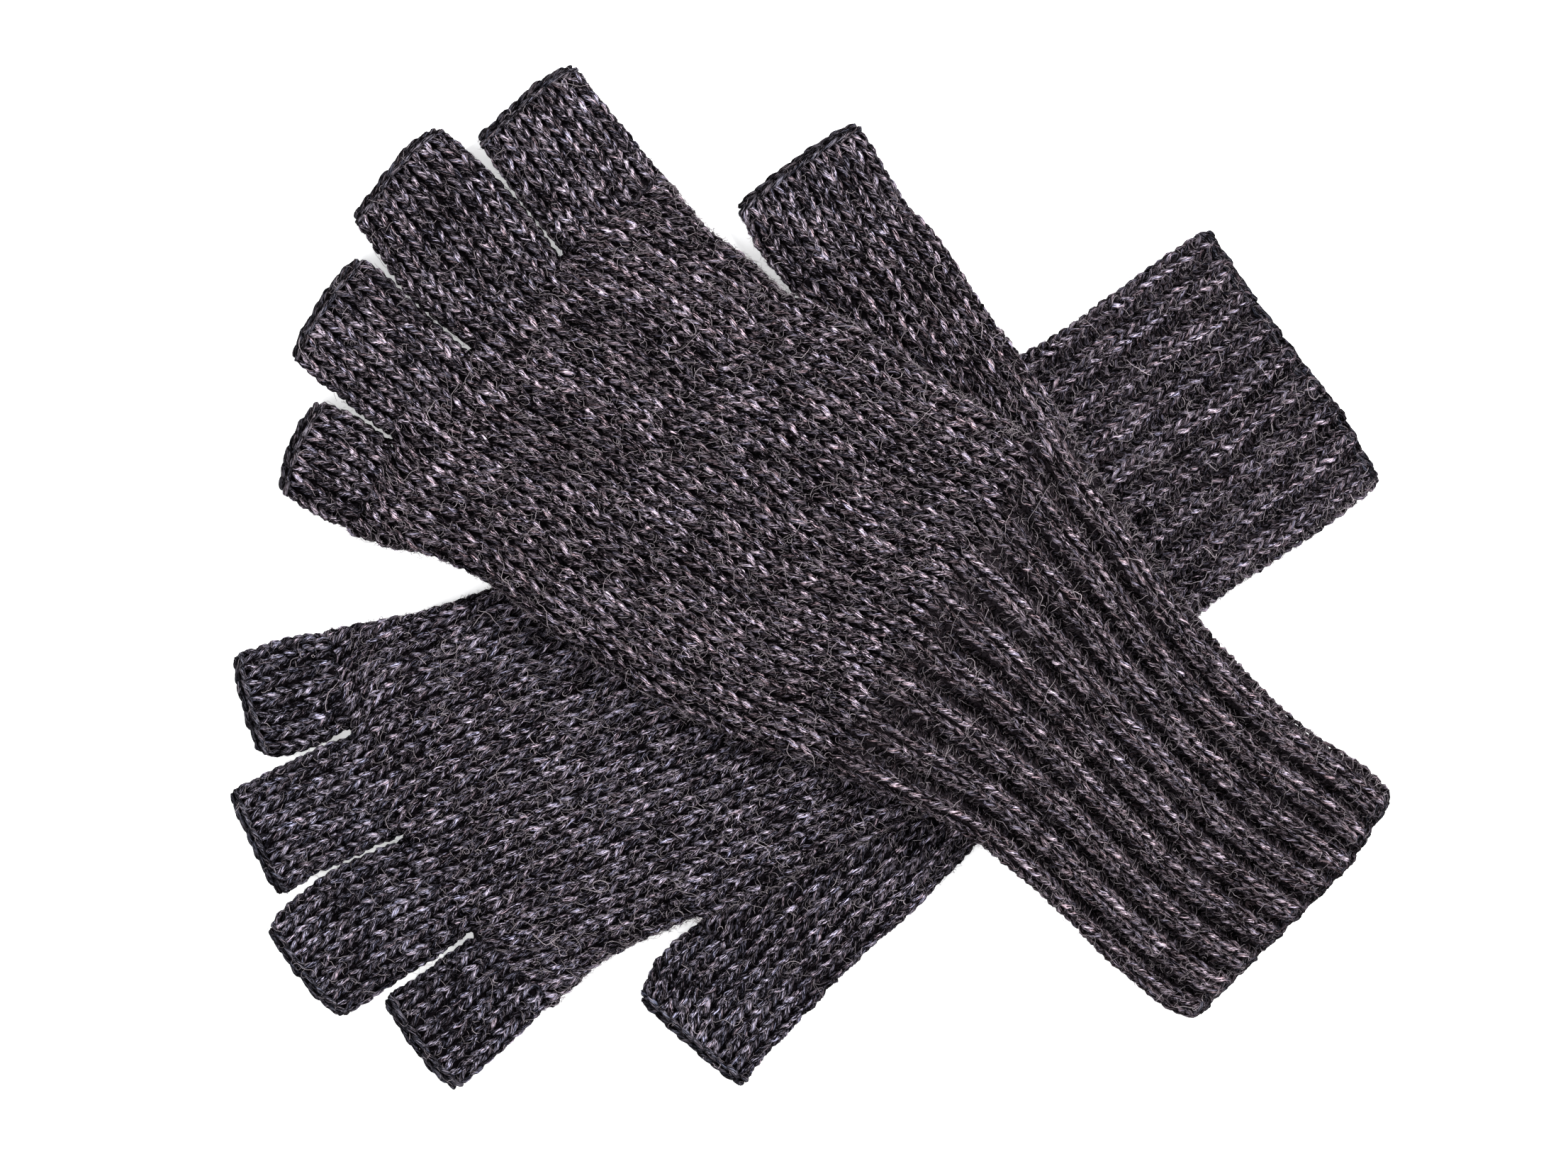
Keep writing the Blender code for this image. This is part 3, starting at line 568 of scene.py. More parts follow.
def wool(name, dark, light, bump, share=0.5, floor=0.0):
    """Melange wool: pale and near-black fibres side by side, lying along the yarn."""
    m = bpy.data.materials.new(name)
    m.use_nodes = True
    t = m.node_tree
    bsdf = t.nodes["Principled BSDF"]
    bsdf.inputs["Roughness"].default_value = 0.78
    bsdf.inputs["Metallic"].default_value = 0.0
    bsdf.inputs["Specular IOR Level"].default_value = 0.015
    attr = node(t, "ShaderNodeAttribute", attribute_name="grain")

    def stretched(along, around, x, y):
        scale = node(t, "ShaderNodeVectorMath", operation="MULTIPLY")
        t.links.new(attr.outputs["Vector"], scale.inputs[0])
        scale.inputs[1].default_value = (along, around, around)
        add = node(t, "ShaderNodeVectorMath", operation="ADD")
        t.links.new(scale.outputs[0], add.inputs[0])
        add.inputs[1].default_value = (x, y, y * 0.7)
        return add.outputs[0]

    fibre = node(t, "ShaderNodeTexNoise", noise_dimensions="3D")
    fibre.inputs["Scale"].default_value = 1.0
    fibre.inputs["Detail"].default_value = 2.0
    fibre.inputs["Roughness"].default_value = 0.62
    fibre.inputs["Distortion"].default_value = 0.7
    t.links.new(stretched(1.0, 3.9, 3.1, 7.7), fibre.inputs["Vector"])
    ply = node(t, "ShaderNodeTexNoise", noise_dimensions="3D")
    ply.inputs["Scale"].default_value = 1.0
    ply.inputs["Detail"].default_value = 1.0
    t.links.new(stretched(0.16, 1.25, 31.0, 11.0), ply.inputs["Vector"])
    blotch = node(t, "ShaderNodeTexNoise", noise_dimensions="3D")
    blotch.inputs["Scale"].default_value = 1.0
    blotch.inputs["Detail"].default_value = 2.0
    t.links.new(stretched(0.085, 0.05, 5.0, 2.0), blotch.inputs["Vector"])

    def maths(op, a, b, clamp=False):
        n = node(t, "ShaderNodeMath", operation=op, use_clamp=clamp)
        for socket, value in ((n.inputs[0], a), (n.inputs[1], b)):
            if hasattr(value, "links"):
                t.links.new(value, socket)
            else:
                socket.default_value = value
        return n.outputs[0]

    mixed = maths("ADD", maths("MULTIPLY", fibre.outputs["Fac"], 0.82), maths("MULTIPLY", ply.outputs["Fac"], 0.18))
    mixed = maths("ADD", mixed, maths("MULTIPLY", maths("SUBTRACT", blotch.outputs["Fac"], 0.5), 0.21))
    ramp = node(t, "ShaderNodeValToRGB")
    t.links.new(mixed, ramp.inputs["Fac"])
    e = ramp.color_ramp.elements
    shift = 0.4 * (0.5 - share)
    e[0].position, e[0].color = 0.465 + shift, dark + (1,)
    e[1].position, e[1].color = 0.58 + shift, light + (1,)
    middle = ramp.color_ramp.elements.new(0.518 + shift)
    middle.color = tuple(0.87 * a + 0.13 * b for a, b in zip(dark, light)) + (1,)
    # the fibres' tints: a little brown here, a little blue there
    hue = node(t, "ShaderNodeTexNoise", noise_dimensions="3D")
    hue.inputs["Scale"].default_value = 1.0
    hue.inputs["Detail"].default_value = 2.0
    t.links.new(stretched(0.21, 1.6, 57.0, 23.0), hue.inputs["Vector"])
    tints = node(t, "ShaderNodeValToRGB")
    t.links.new(hue.outputs["Fac"], tints.inputs["Fac"])
    h = tints.color_ramp.elements
    h[0].position, h[0].color = 0.34, (1.08, 0.93, 0.88, 1)
    h[1].position, h[1].color = 0.66, (0.90, 1.0, 1.16, 1)
    h.new(0.47).color = (1.0, 1.0, 1.0, 1)
    h.new(0.54).color = (1.0, 1.0, 1.0, 1)
    tinted = node(t, "ShaderNodeVectorMath", operation="MULTIPLY")
    t.links.new(ramp.outputs["Color"], tinted.inputs[0])
    t.links.new(tints.outputs["Color"], tinted.inputs[1])
    # painted shade: the base colour darkens with how deep a fibre lies between the loops (the sink attribute), since
    # little light reaches there; floor is how much colour it leaves at the deepest
    sink = node(t, "ShaderNodeAttribute", attribute_name="sink")
    deep = node(t, "ShaderNodeValToRGB")
    t.links.new(maths("MULTIPLY", sink.outputs["Fac"], 0.4, True), deep.inputs["Fac"])
    d = deep.color_ramp.elements
    d[0].position, d[0].color = 0.02, (1, 1, 1, 1)
    d[1].position, d[1].color = 0.62, (0.02, 0.02, 0.02, 1)
    for at, value in ((0.065, 0.74), (0.11, 0.44), (0.18, 0.22), (0.34, 0.08)):
        d.new(at).color = (value, value, value, 1)
    for k in range(len(d)):
        value = floor + (1 - floor) * d[k].color[0]
        d[k].color = (value, value * 0.97, value, 1)
    shade = node(t, "ShaderNodeVectorMath", operation="MULTIPLY")
    t.links.new(tinted.outputs[0], shade.inputs[0])
    t.links.new(deep.outputs["Color"], shade.inputs[1])
    t.links.new(shade.outputs[0], bsdf.inputs["Base Color"])
    # pale fibres are a little smoother than the dark matted ones
    t.links.new(maths("SUBTRACT", 1.0, maths("MULTIPLY", fibre.outputs["Fac"], 0.42), True), bsdf.inputs["Roughness"])
    b = node(t, "ShaderNodeBump")
    b.inputs["Strength"].default_value = bump
    b.inputs["Distance"].default_value = 0.00026
    t.links.new(fibre.outputs["Fac"], b.inputs["Height"])
    t.links.new(b.outputs["Normal"], bsdf.inputs["Normal"])
    return m


def felt_and_shade(name, dark, light):
    """The matted fibres between the loops, near black: partly the fibres' own colour, partly painted shade in the gaps.
    """
    m = bpy.data.materials.new(name)
    m.use_nodes = True
    t = m.node_tree
    bsdf = t.nodes["Principled BSDF"]
    bsdf.inputs["Roughness"].default_value = 0.95
    bsdf.inputs["Specular IOR Level"].default_value = 0.0
    coords = node(t, "ShaderNodeTexCoord")
    noise = node(t, "ShaderNodeTexNoise")
    noise.inputs["Scale"].default_value = 1400.0
    noise.inputs["Detail"].default_value = 4.0
    t.links.new(coords.outputs["Object"], noise.inputs["Vector"])
    ramp = node(t, "ShaderNodeValToRGB")
    ramp.color_ramp.elements[0].position, ramp.color_ramp.elements[0].color = 0.35, dark + (1,)
    ramp.color_ramp.elements[1].position, ramp.color_ramp.elements[1].color = 0.75, light + (1,)
    t.links.new(noise.outputs["Fac"], ramp.inputs["Fac"])
    t.links.new(ramp.outputs["Color"], bsdf.inputs["Base Color"])
    b = node(t, "ShaderNodeBump")
    b.inputs["Strength"].default_value = 0.7
    b.inputs["Distance"].default_value = 0.0002
    t.links.new(noise.outputs["Fac"], b.inputs["Height"])
    t.links.new(b.outputs["Normal"], bsdf.inputs["Normal"])
    return m


def hair_material(name, low, high):
    m = bpy.data.materials.new(name)
    m.use_nodes = True
    t = m.node_tree
    bsdf = t.nodes["Principled BSDF"]
    bsdf.inputs["Roughness"].default_value = 0.6
    bsdf.inputs["Specular IOR Level"].default_value = 0.1
    attr = node(t, "ShaderNodeAttribute", attribute_name="grain")
    noise = node(t, "ShaderNodeTexNoise")
    noise.inputs["Scale"].default_value = 0.013
    noise.inputs["Detail"].default_value = 1.0
    t.links.new(attr.outputs["Vector"], noise.inputs["Vector"])
    ramp = node(t, "ShaderNodeValToRGB")
    ramp.color_ramp.elements[0].position, ramp.color_ramp.elements[0].color = 0.38, low + (1,)
    ramp.color_ramp.elements[1].position, ramp.color_ramp.elements[1].color = 0.66, high + (1,)
    t.links.new(noise.outputs["Fac"], ramp.inputs["Fac"])
    t.links.new(ramp.outputs["Color"], bsdf.inputs["Base Color"])
    return m


def pair(name, dark, light, share, floor=0.0, tone=(0.84, 0.89, 0.93)):
    """The upper glove's yarn and the lower glove's, a little darker and bluer."""
    return {
        "upper": wool(name, dark, light, 0.9, share, floor),
        "lower": wool(name + "_lower", tuple(v * k for v, k in zip(dark, (0.95, 0.97, 1.0))), tuple(v * k for v, k in zip(light, tone)), 0.9, share, floor),
    }


# the fifth argument of each pair is floor: how much colour the painted shade leaves in the deepest places
HAND = pair("hand_yarn", (0.0030, 0.0020, 0.0029), (0.68, 0.575, 0.665), 0.441, 0.012)
CUFF = pair("cuff_yarn", (0.0040, 0.0027, 0.0036), (0.76, 0.64, 0.73), 0.462, 0.085, (0.97, 1.0, 1.04))
FINGER = pair("finger_yarn", (0.0045, 0.0036, 0.0050), (0.63, 0.55, 0.64), 0.440, 0.025)
EDGE = pair("edge_yarn", (0.0045, 0.0036, 0.0050), (0.56, 0.52, 0.60), 0.5, 0.06)
# near-black sheets in the gaps between the loops: matted fibres and painted shade
CUFF_FELT_AND_SHADE = felt_and_shade("matted_cuff_fibres_and_shade", (0.004, 0.003, 0.004), (0.022, 0.018, 0.021))
FELT_AND_SHADE = felt_and_shade("matted_fibres_and_shade", (0.0012, 0.0009, 0.0013), (0.005, 0.004, 0.005))
HAIR = hair_material("loose_hairs", (0.015, 0.012, 0.015), (0.46, 0.40, 0.43))


# ---------------------------------------------------------------- gloves

class Glove:
    def __init__(self, which):
        self.which = which
        g = self.g = GLOVES[which]
        self.left_little = g["little_is_left"]
        self.little = smooth_line(to_world(g, g["little_edge"]), 81)
        self.gusset = smooth_line(to_world(g, g["gusset_line"]), 81)
        self.index = smooth_line(to_world(g, g["index_edge"]), 41)
        self.outer = smooth_line(to_world(g, g["thumb_edge"]), 81)
        cuffs = [smooth_line(to_world(g, g[k]), 121) for k in ("cuff_left", "cuff_right")]
        self.cuff_start, self.cuff_end = cuffs if self.left_little else cuffs[::-1]
        self.knuckles = to_world(g, g["knuckles"])
        a = math.radians(g["heading"])
        self.forward = np.array([math.cos(a), math.sin(a)])
        self.sign = 1.0 if self.left_little else -1.0
        reach, reach_index = line_length(self.gusset), line_length(self.index)
        self.split = reach / (reach + reach_index)
        self.length = reach + reach_index
        chord = self.knuckles[-1] - self.knuckles[0]
        l2 = float(chord @ chord)
        self.crotch = [float((k - self.knuckles[0]) @ chord) / l2 for k in self.knuckles]
        self.bulge = [float((k - self.knuckles[0] - q * chord) @ self.forward) for k, q in zip(self.knuckles, self.crotch)]
        self.finger_lines = {}
        for name, (right, left) in g["fingers"].items():
            right, left = smooth_line(to_world(g, right), 61), smooth_line(to_world(g, left), 61)
            start, end = (left, right) if self.left_little else (right, left)
            self.finger_lines[name] = (start, end)  # start is the side towards the little finger

    # ---- hand
    def inner_edge(self, s):
        return point_on(self.gusset, s / self.split) if s <= self.split else point_on(self.index, (s - self.split) / (1 - self.split))

    def plan_row(self, s, q):
        start, end = point_on(self.little, s), self.inner_edge(s)
        ease = float(smoothstep((s - 0.45) / 0.55))
        return start + (end - start) * q[:, None] + self.forward * (np.interp(q, self.crotch, self.bulge) * ease)[:, None]

    def crease(self, p, s):
        """Depth of the creases that run back from the fingers' crotches, and of the soft hollows beside them."""
        if s < 0.80:
            return np.zeros(len(p))
        out = np.zeros(len(p))
        for k in (1, 2, 3):
            at = self.knuckles[k]
            d = p - at
            back = -(d @ self.forward)
            across = d @ np.array([-self.forward[1], self.forward[0]])
            out += 2.3 * np.exp(-np.maximum(back, 0) / 6.0) * np.exp(-(across / 1.7) ** 2)
        return out

    def crown(self, s):
        return CROWN

    def hand_surfaces(self):
        """The palm side ring and the thumb's gusset."""
        which = self.which
        n_c = self.courses = int(round(self.length / PITCH_C))
        self.row_of = lambda c: np.clip((c + 0.5) / n_c, -0.02, 1.0)
        fine_c = np.arange(-1.5, n_c + 0.51, 0.25)
        q = cosine(121)
        tops, bots = [], []
        for c in fine_c:
            s = float((c + 0.5) / n_c)
            plan = self.plan_row(s, q)
            width = float(np.linalg.norm(plan[-1] - plan[0]))
            # the fabric's middle lies inside the outline by the fabric's half thickness
            inset = SKIN / width
            far_inset = (SKIN - (1.1 if which == "lower" else 0.0) * float(smoothstep((s - self.split) / 0.08))) / width
            q_in = inset + q * (1 - (inset + far_inset if s > self.split else inset))
            plan = self.plan_row(s, q_in)
            d0 = np.linalg.norm(plan - plan[0], axis=1)
            d1 = np.linalg.norm(plan - plan[-1], axis=1)
            base = base_height(which, plan) + FOLD_Z
            crown = self.crown(s)
            z = rise(d0, crown, 8.0)
            if s > self.split:
                near = smoothstep((s - self.split) * self.length / 5.0)
                full = np.minimum(rise(d0, crown, 8.0), rise(d1, crown, 8.0))
                rolled = self.rolled(d0, d1, crown)
                z = rolled * (1 - near) + full * near
            else:
                z = self.rolled(d0, d1, crown)
            z = z - self.crease(plan, s)
            tops.append(np.column_stack([plan, base + z]))
            # underside: from the little finger's fold to the far edge
            if s > self.split:
                far = plan[-1]
                pts = plan
                dd1 = d1
            else:
                start = plan[0]
                far = point_on(self.outer, s / self.split)
                pts = start + (far - start) * q[:, None]
                w2 = float(np.linalg.norm(far - start))
                pts = start + (far - start) * (q * (1 - SKIN / w2))[:, None]
                dd1 = np.linalg.norm(pts - pts[-1], axis=1)
            dd0 = np.linalg.norm(pts - pts[0], axis=1)
            zb = -np.minimum(drop(dd0), drop(dd1))
            bots.append(np.column_stack([pts, base_height(which, pts) + FOLD_Z + zb]))
        def arc(pts):
            return float(np.linalg.norm(np.diff(pts, axis=0), axis=1).sum())
        top_len = np.array([arc(t) for t in tops])
        bot_len = np.array([arc(b) for b in bots])
        # the wales meet the cuff's, 27 to a face, and ease to their own width over the first courses
        joint = self.cuff_arc() / 27.0
        pitch_a = joint + (PITCH_W - joint) * smoothstep(fine_c / 10.0)
        count_top = top_len / pitch_a
        centre = count_top[np.abs(fine_c + 0.5).argmin()] / 2
        a = centre - count_top / 2  # wale on the little finger's fold, for each row
        b = centre + count_top / 2
        last = int(np.abs(fine_c - (n_c - 0.5)).argmin())
        ring = self.ring = int(round((top_len[last] + bot_len[last]) / PITCH_W))
        under = ring - count_top  # wales of the underside
        at_split = int(np.abs(fine_c - (self.split * n_c - 0.5)).argmin()) + 2
        pitch_b = np.where(np.arange(len(fine_c)) >= at_split, bot_len / under, bot_len[at_split] / under[at_split])
        self.wale_a = lambda c: float(np.interp(c, fine_c, a))
        self.wale_b = lambda c: float(np.interp(c, fine_c, b))
        self.wale_under = lambda c: float(np.interp(c, fine_c, a - bot_len / pitch_b))
        lo = min(float((a - bot_len / pitch_b).min()), float((b - ring).min())) - 1.5
        hi = float(b.max()) + 1.5
        ws = np.arange(lo, hi + 0.01, 1 / 6)
        rows = []
        for k in range(len(fine_c)):
            top_w = ws >= a[k]
            out = np.empty((len(ws), 3))
            out[top_w] = curve_at(tops[k], (ws[top_w] - a[k]) * pitch_a[k])
            out[~top_w] = curve_at(bots[k], (a[k] - ws[~top_w]) * pitch_b[k])
            rows.append(out)
        self.palm = Patch(fine_c[0], 0.25, ws[0], 1 / 6, np.array(rows), 1.0 * self.sign)
        self.fix(self.palm, a[len(a) // 2] + count_top[len(a) // 2] / 2)

    def cuff_arc(self):
        """Length of the cuff's top layer where it meets the hand."""
        width = float(np.linalg.norm(self.cuff_end[-1] - self.cuff_start[-1])) - 2 * (SKIN + 0.1)
        q = cosine(81)
        d0, d1 = width * q, width * (1 - q)
        z = np.minimum(rise(d0, CROWN, 8.0), rise(d1, CROWN, 8.0))
        return float(np.hypot(np.diff(d0), np.diff(z)).sum())

    def rolled(self, d0, d1, crown):
        """Top layer that rolls over at the thumb's gusset instead of reaching the table."""
        top = rise(d0, crown, 8.0)
        x = np.clip(d1 / 1.7, 0, 1)
        roll = 1.9 * (1 - np.sqrt(np.maximum(1 - (1 - x) ** 2, 0)))
        return top - roll + 0.35 * np.exp(-(((d1 - 3.0) / 2.5) ** 2))

    def fix(self, patch, w):
        """Turns the normals outward: up on the top layer."""
        j = int((w - patch.w0) / patch.dw)
        if patch.normal[patch.normal.shape[0] // 2, j, 2] < 0:
            patch.normal *= -1

    def tube_surface(self, start, end, n_c, ring, c_lo, c_hi, crown, inset0, inset1, reach=8.0, relief=None, root=None, front=None, w_first=0.0, spread=None, reach_out=(0.0,) * 5, mouth_last=True):
        """A flattened tube: rows from root to mouth. start/end are its side lines, evenly spaced points.
        reach_out is how far (mm) the mouth stands out past the flat pattern, from side to side."""
        which = self.which
        fine_c = np.arange(c_lo, c_hi + 0.01, 0.25)
        q = cosine(81)
        rows = []
        ws = None
        for c in fine_c:
            f = (c + 0.5) / n_c
            A, B = point_on(start, f), point_on(end, f)
            e = unit(B - A)
            full = float(smoothstep(f / 0.4)) if mouth_last else 1.0  # past the crotch the tube fills out to its outline
            in0 = inset0[0] + (inset0[1] - inset0[0]) * full
            in1 = inset1[0] + (inset1[1] - inset1[0]) * full
            A, B = A + e * (SKIN + in0), B - e * (SKIN + in1)
            plan = A + (B - A) * q[:, None]
            width = float(np.linalg.norm(B - A))
            near = float(smoothstep((f - 0.45) / 0.55)) if mouth_last else float(smoothstep((0.30 - f) / 0.30))
            ahead = np.array([-e[1], e[0]])
            k0, k1 = (-3, -1) if mouth_last else (2, 0)
            if ahead @ (start[k1] + end[k1] - start[k0] - end[k0]) < 0:
                ahead = -ahead
            plan = plan + ahead * (near * np.interp(q, np.linspace(0, 1, len(reach_out)), reach_out))[:, None]
            d0, d1 = width * q, width * (1 - q)
            base = base_height(which, plan) + FOLD_Z
            cr = crown(f) if callable(crown) else crown
            top = np.minimum(rise(d0, cr, reach), rise(d1, cr, reach))
            top = np.where(d0 < d1, rise(d0, cr, reach), rise(d1, cr, reach))
            if root is not None:
                top = root(f, d0, d1, top)
            bottom = -np.minimum(drop(d0), drop(d1))
            t3 = np.column_stack([plan, base + top])
            b3 = np.column_stack([plan, base + bottom])[::-1]
            lt = float(np.linalg.norm(np.diff(t3, axis=0), axis=1).sum())
            lb = float(np.linalg.norm(np.diff(b3, axis=0), axis=1).sum())
            if front is None:
                n_top = ring * lt / (lt + lb)
            else:
                n_top = front
            if ws is None:
                ws = np.arange(w_first - 1.5, w_first + ring + 1.51, 1 / 6)
            x = ws - w_first
            wrapped = np.mod(x, ring)
            out = np.empty((len(ws), 3))
            on_top = wrapped <= n_top
            arc_t = wrapped / n_top * lt
            if spread is not None:
                arc_t = spread(wrapped / n_top, f) * lt
            out[on_top] = curve_at(t3, arc_t[on_top])
            out[~on_top] = curve_at(b3, ((wrapped - n_top) / (ring - n_top) * lb)[~on_top])
            rows.append(out)
        patch = Patch(fine_c[0], 0.25, ws[0], 1 / 6, np.array(rows), self.sign)
        self.fix(patch, w_first + (ring / 4))
        if relief is not None:
            cs = fine_c[:, None]
            shift = relief(ws[None, :], cs)
            patch.pos = patch.pos + patch.normal * shift[:, :, None]
            patch = Patch(patch.c0, patch.dc, patch.w0, patch.dw, patch.pos, 1.0)
            self.fix(patch, w_first + (ring / 4))
            if patch.normal[len(fine_c) // 2, int((w_first + ring / 4 - patch.w0) / patch.dw), 2] < 0:
                patch.normal *= -1
        return patch


def free_side(which, name):
    """The lower glove's forefinger stands wider than its pattern on its free side."""
    return which == "lower" and name == "index"


# how far (mm) each mouth stands out past the flat pattern, from the little finger's side across
MOUTHS = {
    "upper": {
        "index": (0.7, 1.4, 2.3, 3.1, 2.4), "middle": (0.8, 1.3, 2.1, 2.5, 1.5), "ring": (1.0, 1.9, 2.2, 2.2, 1.3),
        "little": (1.0, 2.0, 2.3, 2.0, 1.0), "thumb": (2.4, 2.9, 2.6, 2.2, 1.2), "cuff": (0.7, 1.6, 2.8, 3.8, 1.9),
    },
    "lower": {
        "index": (1.0, 1.9, 2.4, 2.8, 2.3), "middle": (1.2, 2.1, 2.7, 3.1, 2.4), "ring": (0.8, 1.2, 1.5, 1.9, 1.9),
        "little": (1.2, 1.7, 1.5, 1.3, 1.0), "thumb": (2.3, 2.4, 2.0, 1.6, 1.0), "cuff": (0.6, 0.8, 1.5, 2.9, 2.2),
    },
}


def finger_piece(glove, name, body, hand_body):
    g = glove
    which = g.which
    start, end = g.finger_lines[name]
    length = 0.5 * (line_length(start) + line_length(end))
    n_c = max(int(round((length + 1.6 - RIM) / PITCH_FINGER)), 3)
    n_total = length / ((length - RIM) / n_c)  # courses that fill the tube, rim included
    if name == "thumb":
        insets = (0.5, -0.25), (0.5, 0.0)
        w_first = 0.0
        ring = 19
        start, end = end, start  # the outer edge first
        front = 9.8
    else:
        k = FINGERS.index(name)
        a, b = g.wale_a(g.courses - 0.5), g.wale_b(g.courses - 0.5)
        w_first = a + (b - a) * g.crotch[k]
        w_last = a + (b - a) * g.crotch[k + 1]
        front = w_last - w_first
        ring = int(round(2 * front + 0.4))
        insets = (0.25, -0.1), ((-0.5, -0.7) if free_side(which, name) else (0.25, -0.1))
    root_mm = 5.0
    total_mm = length

    def root(f, d0, d1, top):
        """At the knuckles the tube opens out of the flat hand."""
        t = float(smoothstep(f * total_mm / root_mm))
        flat = R_FOLD + CROWN * (1 - np.exp(-(d0 + 20) / 8.0)) - 2.6 * (np.exp(-(d0 / 1.7) ** 2) + np.exp(-(d1 / 1.7) ** 2))
        return top * t + np.maximum(flat, 0.2) * (1 - t) if name != "thumb" else top

    patch = g.tube_surface(
        start, end, n_total, ring, -3.75, n_total + 0.5, lambda f: 2.7 - 0.6 * f, *insets, reach=5.0,
        root=root, front=front, w_first=w_first, reach_out=MOUTHS[which][name],
    )
    mesh = Mesh()
    label = f"{which}_{name}"
    seed = {"little": 3.0, "ring": 11.0, "middle": 19.0, "index": 27.0, "thumb": 37.0}[name] + (50 if which == "upper" else 0)
    knit(mesh, patch, np.arange(n_c) + 0.0, lambda c: (w_first, w_first + ring, True), seed=seed, proud=0.055)
    if name == "thumb":  # two courses more on the underside, where the hand's own courses have turned in
        knit(mesh, patch, (-2.0, -1.0), lambda c: (w_first + front - 0.5, w_first + ring + 0.5, False), seed=seed + 3.0)
    tube = mesh.build(f"{label}_knit", FINGER[which])
    # a near-black sheet between the loops: matted fibres and painted shade
    felt_and_shade_sheet = sheet_under(
        f"{label}_felt", patch, np.append(np.arange(-0.5, n_total - 1.2, 0.5), n_total - 0.95), lambda c: (w_first, w_first + ring, True), ring * 3, FELT_AND_SHADE
    )
    # bind-off: a chain of loops that lies round the mouth
    edge = Mesh()
    chain(edge, patch, n_total - 0.5, 1.0, length / n_total, w_first, ring, seed, 0.2)
    rim = edge.build(f"{label}_bind_off", EDGE[which])
    fuzz = loose_fibres(
        f"{label}_fuzz", patch, lambda c: (w_first - 0.4, w_first + front + 0.4), -0.5, n_total - 0.7, 0.5 * front * PITCH_W * length / 100.0, seed
    )
    return patch, n_total, [tube, felt_and_shade_sheet, fuzz], [rim], ring, w_first


def chain(mesh, patch, rim, outward, pitch, w_first, ring, seed, sunk=0.0):
    """A bound edge: a chain of stitches that lies along the mouth, its inner legs up and its outer legs rolled over."""
    n = 22
    t = np.linspace(-0.06, 1.06, n) * 2 * math.pi
    for i in range(ring):
        swell = 1 + 0.12 * math.sin(i * 2.7 + seed) + 0.06 * math.sin(i * 5.9 + seed)
        half = t / 2
        wide = (0.26 + 0.80 * np.sin(half) ** 2) * swell
        v = -wide * np.tanh(2.6 * np.cos(half))  # mm across the edge, outwards
        x = w_first + i + 0.5 - 0.64 * np.cos(t) + 0.06 * math.sin(i * 3.3 + seed)
        y = v - 1.40 + sunk
        p, nrm = patch.at(rim + outward * y / pitch, x)
        z = -0.46 * np.cos(2 * t) + 0.42 - 0.62 * np.clip(v + 0.35, 0, 2) ** 1.3 - sunk
        p = p + nrm * z[:, None] + wobble(t, seed + i * 1.7, 0.05)
        along = np.concatenate([[0], np.cumsum(np.linalg.norm(np.diff(p, axis=0), axis=1))]) + 1000.0 * ((i * 5 + seed) % 97)
        u = i / ring
        # the height passed lies 0.25 mm under the yarn's own, which deepens the bound edge's painted shade
        mesh.tube(p, nrm, along, 8, 0.56 * swell, 0.50, False, 0.08, TWIST, (u, 0.0, u + 1 / ring, 1.0), z - 0.25, phase=i * 0.9)


def loose_fibres(name, patch, span, c0, c1, area, seed, extra=1.0):
    """Loose hairs over the fabric's face: many short ones that stand off it and fewer long curly ones. area in cm2."""
    rng = np.random.default_rng(int(seed * 1000) + 7)
    mesh = Mesh()
    for kind in ("short", "long"):
        count = int(area * (SHORT_HAIRS if kind == "short" else LONG_HAIRS) * extra)
        if count < 1:
            continue
        points = 6 if kind == "short" else 14
        c = rng.uniform(c0, c1, count)
        lo, hi = np.array([span(v) for v in c]).T
        w = lo + (hi - lo) * rng.uniform(0, 1, count)
        edge = rng.random(count) < (0.22 if kind == "short" else 0.05)  # a halo along the folds
        w = np.where(edge, np.where(rng.random(count) < 0.5, lo, hi) + rng.normal(0, 0.22, count), w)
        length = rng.uniform(0.8, 2.2, count) if kind == "short" else np.clip(rng.lognormal(1.45, 0.42, count), 2.2, 9.0)
        step = length / (points - 1)
        theta = rng.uniform(0, 2 * math.pi, count)
        bend = rng.normal(0, 1.1 if kind == "short" else 0.42, count)
        wave, phase = rng.normal(0, 1.0, count), rng.uniform(0, 6.28, count)
        cs, ws = [c], [w]
        for k in range(1, points):
            theta = theta + (bend + wave * math.cos(1.0) * np.cos(phase + k * 0.9)) * step
            cs.append(cs[-1] + np.cos(theta) * step / PITCH_C)
            ws.append(ws[-1] + np.sin(theta) * step / PITCH_W)
        cs, ws = np.array(cs).T, np.array(ws).T
        cs = np.clip(cs, c0 - 0.5, c1 + 0.6)
        ws = np.clip(ws, (lo - 0.5)[:, None], (hi + 0.5)[:, None])
        p, n = patch.at(cs.ravel(), ws.ravel())
        p, n = p.reshape(count, points, 3), n.reshape(count, points, 3)
        t = np.linspace(0, 1, points)[None]
        if kind == "short":
            high = SKIN - 0.20 + t ** 1.5 * rng.uniform(0.1, 1.0, count)[:, None]
        else:
            high = SKIN - 0.10 + np.sin(math.pi * t) * rng.uniform(0.25, 1.0, count)[:, None] + 0.12 * np.sin(t * 9 + phase[:, None])
        p = p + n * high[:, :, None] + rng.normal(0, 0.04, p.shape)
        radius = rng.uniform(0.024, 0.046, count) if kind == "short" else rng.uniform(0.030, 0.056, count)
        mesh.strands(p, n, radius, rng)
    return mesh.build(name, HAIR)


